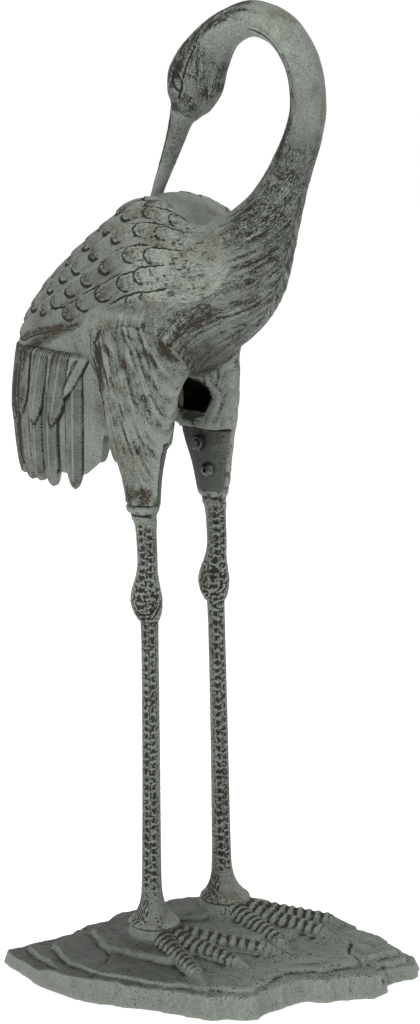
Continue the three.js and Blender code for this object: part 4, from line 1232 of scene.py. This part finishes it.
def nut_tree():
    """A chamfered hex nut that stands on z = 0, and a stud through it whose thread shows above."""
    keys = ("Shank", "Nut", "Nut high", "Pitch", "Depth")
    net = GeometryTree("nut on a stud", keys)
    shank, flat, high, pitch, depth = (net.given[key] for key in keys)
    prism = net.rod(maths(net.tree, "DIVIDE", flat, math.cos(math.pi / 6)), 0.0, high, 6)
    cone = net.add("GeometryNodeMeshCone", Vertices=48, Radius_Top=net.sum(flat, -1.9 * MM),
                   Radius_Bottom=net.sum(flat, high, 1.8), Depth=net.sum(high, 2 * MM))
    cone = net.add("GeometryNodeTransform", Geometry=cone, Translation=net.vector(Z=-1 * MM))
    nut = net.cut("INTERSECT", prism, cone)
    stud = net.rod(net.sum(shank, -THREAD), net.times(depth, -1.0), net.sum(high, 2.4 * MM))
    return net.finish([nut, stud, net.thread(shank, pitch, net.sum(high, 1.7 * MM), 22)])


def screw_tree():
    """A domed head that stands on z = 0, with a hexagonal socket, and its threaded shank below."""
    keys = ("Shank", "Button", "Button high", "Socket", "Pitch", "Depth")
    net = GeometryTree("button screw", keys)
    shank, wide, high, socket, pitch, depth = (net.given[key] for key in keys)
    ball = net.add("GeometryNodeMeshUVSphere", Segments=48, Rings=32, Radius=1.0)
    across = net.vector(X=wide, Y=wide, Z=net.times(high, 1.1))
    dome = net.add("GeometryNodeTransform", Geometry=ball, Scale=across)
    head = net.cut("INTERSECT", dome, net.rod(net.times(wide, 1.2), 0.0, high, 24))
    head = net.cut("DIFFERENCE", head, net.rod(socket, 1.4 * MM, net.sum(high, 1 * MM), 6))
    stem = net.rod(net.sum(shank, -THREAD), net.times(depth, -1.0), 0.6 * MM)
    return net.finish([head, stem, net.thread(shank, pitch, -1.2 * MM, 16)])


STEEL = {"dull": (0.065, 0.069, 0.066, 1), "rubbed": (0.15, 0.156, 0.15, 1), "dirt": (0.022, 0.019, 0.016, 1)}


def steel_material():
    """Dull plated steel with grey streaks, brown dirt in patches and a few rubbed places."""
    material = bpy.data.materials.new("plated steel")
    material.use_nodes = True
    tree = material.node_tree
    shader = tree.nodes["Principled BSDF"]
    place = tree.nodes.new("ShaderNodeTexCoord").outputs["Object"]
    cloud, grain = noise(tree, place, 260.0, 4.0, 0.6), noise(tree, place, 1300.0, 3.0, 0.6)
    grey = tint(tree, band(tree, cloud, 0.35, 0.65), STEEL["dull"], STEEL["rubbed"])
    caked = maths(tree, "MULTIPLY_ADD", cloud, 0.6, maths(tree, "MULTIPLY", grain, 0.6))
    dirt = band(tree, caked, 0.62, 0.74)
    rough = maths(tree, "MULTIPLY_ADD", grain, 0.25, maths(tree, "MULTIPLY_ADD", dirt, 0.3, 0.2))
    tree.links.new(tint(tree, dirt, grey, STEEL["dirt"]), shader.inputs["Base Color"])
    tree.links.new(rough, shader.inputs["Roughness"])
    tree.links.new(maths(tree, "MULTIPLY_ADD", dirt, -0.6, 0.92), shader.inputs["Metallic"])
    relief = tree.nodes.new("ShaderNodeBump")
    relief.inputs["Strength"].default_value = 0.25
    relief.inputs["Distance"].default_value = 0.2 * MM
    tree.links.new(grain, relief.inputs["Height"])
    tree.links.new(relief.outputs["Normal"], shader.inputs["Normal"])
    return material


def fastened(name, node, tree, place, side, material):
    """One fastener as a plain mesh, its head towards the middle plane."""
    mesh = bpy.data.meshes.new(name)
    piece = bpy.data.objects.new(name, mesh)
    bpy.context.scene.collection.objects.link(piece)
    step = piece.modifiers.new("fastener", "NODES")
    step.node_group = tree
    values = {**BOLT, "Place": place, "Turn": (side * math.pi / 2, 0.0, 0.0), "Material": material}
    for socket in tree.interface.items_tree:
        if socket.in_out == "INPUT":
            step[socket.identifier] = values[socket.name]
    done = bpy.data.meshes.new_from_object(piece.evaluated_get(bpy.context.evaluated_depsgraph_get()))
    piece.modifiers.remove(step)
    done.name = name
    piece.data = done
    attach(piece, "root")
    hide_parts(node)


steel = steel_material()
trees = {"nut": nut_tree(), "screw": screw_tree()}
for side, way in (("left", 1), ("right", -1)):
    for kind, (x, z) in BOLTS[side].items():
        place = (x, way * (TONGUE["inner"] - 0.3 * MM), z)
        fastened(f"{side}_{kind}_steel", f"{side}_{kind}", trees[kind], place, way, steel)

# Base: a heavy casting of layered rock with a rough broken edge, lobed beside a cleft at the front. The hubs
# under the feet and their ringed toes are cast on it, and the legs stand on the hubs.

# Layers of rock, each a top height and the corners of its outline.
ROCK = (
    (14, ((-119, -131), (-98, -139), (-56, -148), (-20, -153), (11, -145), (80, -118), (117, -103),
          (142, -87), (151, -76), (149, -56), (152, -36), (158, -14), (176, 5), (192, 27), (203, 42),
          (200, 52), (189, 70), (200, 96), (188, 116), (140, 126), (92, 136), (44, 128), (6, 112),
          (-30, 92), (-58, 58), (-80, 16), (-94, -40), (-108, -96))),
    (21, ((-103, -118), (-70, -130), (-22, -147), (12, -142), (80, -116), (139, -86), (148, -74),
          (146, -50), (153, -14), (184, 24), (194, 44), (184, 68), (193, 94), (176, 112), (132, 120),
          (90, 128), (46, 120), (12, 104), (-20, 82), (-46, 46), (-66, 8), (-80, -44), (-94, -88))),
    (28, ((-72, -112), (-30, -132), (11, -138), (80, -112), (136, -82), (144, -70), (141, -46), (138, -28),
          (142, -12), (164, 12), (174, 40), (178, 70), (184, 96), (150, 112), (124, 112), (86, 118),
          (40, 108), (8, 92), (-22, 68), (-50, 30), (-64, -10), (-82, -58))),
    (35, ((-58, -70), (-18, -92), (22, -90), (52, -78), (58, -40), (64, 0), (92, 44), (92, 76), (62, 92),
          (34, 88), (4, 80), (-26, 56), (-48, 20), (-66, -24))),
    (41, ((-44, -14), (-20, -18), (2, 8), (16, 40), (22, 66), (44, 80), (26, 88), (2, 80), (-26, 56),
          (-46, 24))),
)
# Hub of each foot: height, step forward, half length and half width.
HUB = ((20, 2, 36, 33), (30, 3, 33, 29), (40, 3, 26, 24), (48, 1, 23, 23))
TOE = {"start": 14, "root": 10.5, "end": 7, "claw": 24, "rings": 10, "ring": 1.9, "high": 40, "low": 31}
# Toes: heading and reach.
TOES = {"right": ((-23, 121), (4, 124), (27, 136)), "left": ((-14, 122), (12, 134), (30, 130))}
# Rounded lobes beside the cleft at the front, each a middle and two half lengths in plan.
LOBES = (((160, 73), (13, 9)), ((180, 64), (10, 8)), ((153, 91), (12, 9)))
# Cracks in plan: a broken line, how deep it is and its half width.
CRACKS = (
    (((140, 78), (152, 60), (170, 52), (200, 50)), 4.0, 2.2),
    (((116, -8), (132, 12), (150, 34)), 1.6, 1.4),
    (((-39, -86), (-22, -94), (-6, -100), (2, -120), (8, -141)), 1.3, 1.1),
    (((-92, -70), (-60, -66), (-40, -74)), 1.2, 1.1),
    (((-110, -112), (-84, -104), (-62, -112)), 1.1, 1.0),
    (((60, -128), (86, -108), (112, -92)), 1.0, 1.0),
)
# The stone is stippled only above this height.
STIPPLED_FROM = 10 * MM


def polygon_field(x, y, corners):
    """Signed distance from a closed run of corners in plan, negative inside it."""
    nearest = np.full(x.shape, FAR)
    inside = np.zeros(x.shape, bool)
    for (ax, ay), (bx, by) in zip(corners, corners[1:] + corners[:1]):
        dx, dy = bx - ax, by - ay
        t = np.clip(((x - ax) * dx + (y - ay) * dy) / (dx * dx + dy * dy), 0, 1)
        nearest = np.minimum(nearest, np.hypot(x - ax - t * dx, y - ay - t * dy))
        if dy:
            inside ^= ((ay > y) != (by > y)) & (x < ax + (y - ay) * dx / dy)
    return np.where(inside, -nearest, nearest)


def toe_field(x, y, z, foot, heading, reach):
    """A ringed toe with a ridged claw, in millimetres."""
    way = math.cos(heading * DEGREE), math.sin(heading * DEGREE)
    along = (x - foot[0]) * way[0] + (y - foot[1]) * way[1]
    aside = -(x - foot[0]) * way[1] + (y - foot[1]) * way[0]
    body = reach - TOE["claw"]
    t = np.clip(along / body, 0, 1)
    spine = TOE["high"] + (TOE["low"] - TOE["high"]) * t
    radius = TOE["root"] + (TOE["end"] - TOE["root"]) * t
    pitch = (body - TOE["start"] - 6) / TOE["rings"]
    bend = along + 0.03 * aside**2
    place = (bend - TOE["start"] - 6) / pitch
    place = place + 0.12 * ripple(np.stack(np.broadcast_arrays(place, aside / 9), -1), 2)
    wave = 0.5 - 0.5 * np.cos(2 * math.pi * place)
    there = smoothstep(along, TOE["start"] + 2, TOE["start"] + 10) * smoothstep(along, body + 1, body - 3)
    from_spine = np.hypot(aside / 0.92, z - spine)
    upper = smoothstep((z - spine - 0.35 * aside) / np.maximum(from_spine, 1e-6), -0.1, 0.5)
    bar = from_spine - radius - (TOE["ring"] * wave - 0.6) * there * upper
    bar = np.maximum(bar, np.maximum(TOE["start"] - 8 - along, along - body - 1))
    u = np.clip((along - body) / TOE["claw"], 0, 1.2)
    ridge = 37.5 - 11 * u**1.15
    claw = ((z - ridge) + 0.95 * np.abs(aside)) / 1.38
    claw = np.maximum(claw, np.maximum(body - 4 - along, (along - reach) * 0.7 + np.abs(aside) * 0.5))
    return bar, claw, there * upper * (1 - wave)


def lump_at(flat, middle, size, heading=0.0):
    """From 1 at a middle to 0 at the rim of a long oval, in plan."""
    off = flat - np.array(middle)
    way = np.array([math.cos(heading * DEGREE), math.sin(heading * DEGREE)])
    along, across = off @ way, off @ np.array([-way[1], way[0]])
    return smoothstep(np.hypot(along / size[0], across / size[1]), 1.0, 0.3)


def crack_at(flat, line, width):
    """From 0 to 1, how near each place is in plan to a broken line."""
    near = np.full(flat.shape[:2], FAR)
    for (ax, ay), (bx, by) in zip(line, line[1:]):
        step = np.array([bx - ax, by - ay], float)
        t = np.clip(((flat - [ax, ay]) @ step) / (step @ step), 0, 1)[..., None]
        near = np.minimum(near, np.linalg.norm(flat - [ax, ay] - t * step, axis=-1))
    return np.exp(-((near / width) ** 2))


def base_field(space):
    """The base as one field in metres; also, where the toes are cut between their rings."""
    x, y, z = (axis / MM for axis in cells(space))
    flat = np.stack(np.broadcast_arrays(x[:, :, 0], y[:, :, 0]), -1)
    bent = flat + 2.0 * np.stack([ripple(flat / 15, 1), ripple(flat / 15, 2)], -1)
    broken = smoothstep(flat[..., 0], 20, 110)
    folds = (0.5 + 1.1 * broken) * ripple(flat / 8, 3) + (0.2 + 0.5 * broken) * ripple(flat / 3.6, 4) + 2.0
    tall = smoothstep(flat @ [0.669, -0.743], 62, 100)
    swell = 1.1 * ripple(flat / 31, 5) + 0.4 * ripple(flat / 11, 6)
    raised = 3.4 * lump_at(flat, (141, 13), (32, 7), 50)
    for middle, size in LOBES:
        raised = raised + 4.2 * lump_at(flat, middle, size)
    wander = flat + 1.6 * np.stack([ripple(flat / 6, 8), ripple(flat / 6, 9)], -1)
    cracks = np.maximum.reduce([depth * crack_at(wander, line, width) for line, depth, width in CRACKS])
    rock = None
    for n, (top, corners) in enumerate(ROCK):
        outline = polygon_field(bent[..., 0], bent[..., 1], corners) + folds * (1.0 if n < 3 else 0.6)
        outline = outline[:, :, None]
        lift = (7.5 if n == 0 else 1.5 if n == 1 else 0.0) * tall
        level = top + lift + swell + (raised if n < 3 else 0) * smoothstep(top, 8, 26) - 0.8 * (n > 0)
        level = (level + 0.35 * ripple(flat / 5.5, 7 + n))[:, :, None]
        steep = outline + (0.26 if n < 3 else 0.6) * (z - level)
        layer = sharpest(steep * 0.93, z - level, 1.6)
        rock = layer if rock is None else melt(rock, layer, 2.6)
    rock = rock + cracks[:, :, None] * smoothstep(z, 3, 12)
    cut = np.zeros(rock.shape)
    toes = None
    for side, share in (("right", -1), ("left", 1)):
        foot = (float(np.interp(48, *STANCE[side])), share * FOOT_Y / MM)
        rings = np.array([[z_, foot[0] + step, foot[1], long, wide] for z_, step, long, wide in HUB], float)
        hub = depth_field(space, *loft(level_rings(rings * MM, 60))) / MM
        rock = melt(rock, hub, 8.0)
        out, turn = np.hypot(x - foot[0], y - foot[1]), np.arctan2(y - foot[1], x - foot[0]) / DEGREE
        spread = [heading for heading, _ in TOES[side]]
        edge = np.minimum(turn - spread[0], spread[-1] - turn) * DEGREE * out
        gully = np.abs(np.sin((turn - spread[0]) / (spread[-1] - spread[0]) * 2 * math.pi))
        web = np.maximum((z - 37 + 0.105 * out + 2.5 * gully) * 0.95, np.maximum(-edge, out - 96) * 0.8)
        rock = melt(rock, web, 6.0)
        for heading, reach in TOES[side]:
            bar, claw, gap = toe_field(x, y, z, foot, heading, reach)
            toe = melt(bar, claw, 1.5)
            toes = toe if toes is None else np.minimum(toes, toe)
            cut = np.maximum(cut, gap * smoothstep(bar, 2.5, 0.5))
    rock = melt(rock, toes, 4.5)
    low, high = (np.array(corner) / MM for corner in cad_box)
    room = np.maximum(np.maximum(low[0] - x, x - high[0]), np.maximum(low[1] - y, y - high[1])) + 0.3
    return (np.maximum(np.maximum(rock, room), -z) * MM).astype(np.float32), cut


base_space = lattice((-124 * MM, -158 * MM, -1 * MM), (208 * MM, 140 * MM, 52 * MM), 1.5 * MM, 12 * MM)
field, cut = base_field(base_space)
points, quads = skin_of(base_space, field)
gap = sampled(base_space, cut, points)
normal = normals_of(points, quads)
stippled = smoothstep(normal[:, 2], 0.35, 0.9) * (points[:, 2] > STIPPLED_FROM)
grainy = 0.16 * MM * ripple(points / (2.6 * MM), 12)
points = points + normal * grainy[:, None] * (points[:, 2:] > 1 * MM)
stone = casting_material("rock casting", 0.75, 0.15, 0.6)
# The rock is painted lighter towards the camera's right, where the lamps leave it in shade, and darker
# towards its left, as painted light and shade; tops that face up are darker, less so on the right.
forward = smoothstep(points[:, 0] + 0.9 * points[:, 1], -60 * MM, 90 * MM)
extra = {
    "ink": 0.55 * gap + 0.07 + 0.27 * stippled,
    "shade_and_tone": 0.11 - 0.1 * forward + (0.55 - 0.37 * forward) * stippled + 0.05 * gap,
    "pecks": 0.45 + 0.45 * stippled + 0.8 * gap,
}
base = cast_piece("rock_base_casting", points, quads, extra, contrast=0.2)
belongs(base, "rock_base", stone)

# Studio: a plain pale floor that glows a little, a strong soft light to the left of the camera and a weaker
# one to its right, a pale backdrop, and the camera where the photographer stood.

FLOOR = 6.0
target = bpy.data.meshes.new("floor")
corners = [(x * FLOOR, y * FLOOR, 0) for x, y in ((-1, -1), (1, -1), (1, 1), (-1, 1))]
target.from_pydata(corners, [], [(0, 1, 2, 3)])
floor = bpy.data.objects.new("floor", target)
bpy.context.scene.collection.objects.link(floor)
paint = bpy.data.materials.new("pale floor")
paint.use_nodes = True
PALE = {
    "Base Color": (0.86, 0.86, 0.86, 1), "Roughness": 0.9,
    "Emission Color": (1, 1, 1, 1), "Emission Strength": 0.5,
}
for key, value in PALE.items():
    paint.node_tree.nodes["Principled BSDF"].inputs[key].default_value = value
target.materials.append(paint)

# Azimuth from the bird's right side towards its breast, and the lens and film in millimetres.
CAMERA = {
    "azimuth": 42.0 * DEGREE, "down": 13.514 * DEGREE, "distance": 2.8, "height": 1.1126, "aside": 0.02155,
    "lens": 108.77, "film": 36.0,
}


def aim(azimuth, down):
    """The right, up and forward directions of a level camera that looks down a little."""
    right = np.array([math.cos(azimuth), math.sin(azimuth), 0])
    level = np.array([-math.sin(azimuth), math.cos(azimuth), 0])
    forward = level * math.cos(down) - np.array([0, 0, math.sin(down)])
    return right, np.cross(right, forward), forward


right, up, forward = aim(CAMERA["azimuth"], CAMERA["down"])
eye = CAMERA["distance"] * np.array([math.sin(CAMERA["azimuth"]), -math.cos(CAMERA["azimuth"]), 0])
eye = eye + CAMERA["aside"] * right + [0, 0, CAMERA["height"]]
lens = bpy.data.cameras.new("camera")
lens.lens, lens.sensor_width = CAMERA["lens"], CAMERA["film"]
camera = bpy.data.objects.new("camera", lens)
turned = np.stack([right, up, -forward, eye], 1)
camera.matrix_world = Matrix(np.concatenate([turned, [[0, 0, 0, 1]]]))
bpy.context.scene.collection.objects.link(camera)
bpy.context.scene.camera = camera


def soft_box(name, place, aim_at, width, power):
    """A square soft light of that width in metres and power in watts."""
    light = bpy.data.lights.new(name, "AREA")
    light.size, light.energy = width, power
    lamp = bpy.data.objects.new(name, light)
    lamp.location = place
    lamp.rotation_euler = (Vector(aim_at) - Vector(place)).to_track_quat("-Z", "Y").to_euler()
    bpy.context.scene.collection.objects.link(lamp)


soft_box("key", (0.1, -2.8, 2.6), (0, 0, 0.5), 1.5, 72)
soft_box("side", (2.7, 0.5, 2.2), (0, 0, 0.5), 1.2, 30)
world = bpy.data.worlds.new("studio")
world.use_nodes = True
# The backdrop is lit and the room behind the camera is dim, so the light has a side to come from.
tree = world.node_tree
tree.nodes["Background"].inputs["Color"].default_value = (1, 1, 1, 1)
toward = tree.nodes.new("ShaderNodeVectorMath")
toward.operation = "DOT_PRODUCT"
tree.links.new(tree.nodes.new("ShaderNodeTexCoord").outputs["Generated"], toward.inputs[0])
toward.inputs[1].default_value = (float(forward[0]), float(forward[1]), 0.0)
glow = band(tree, toward.outputs["Value"], 0.1, 0.75, 0.4, 1.05)
tree.links.new(glow, tree.nodes["Background"].inputs["Strength"])
bpy.context.scene.world = world
bpy.context.scene.view_settings.view_transform = "Standard"
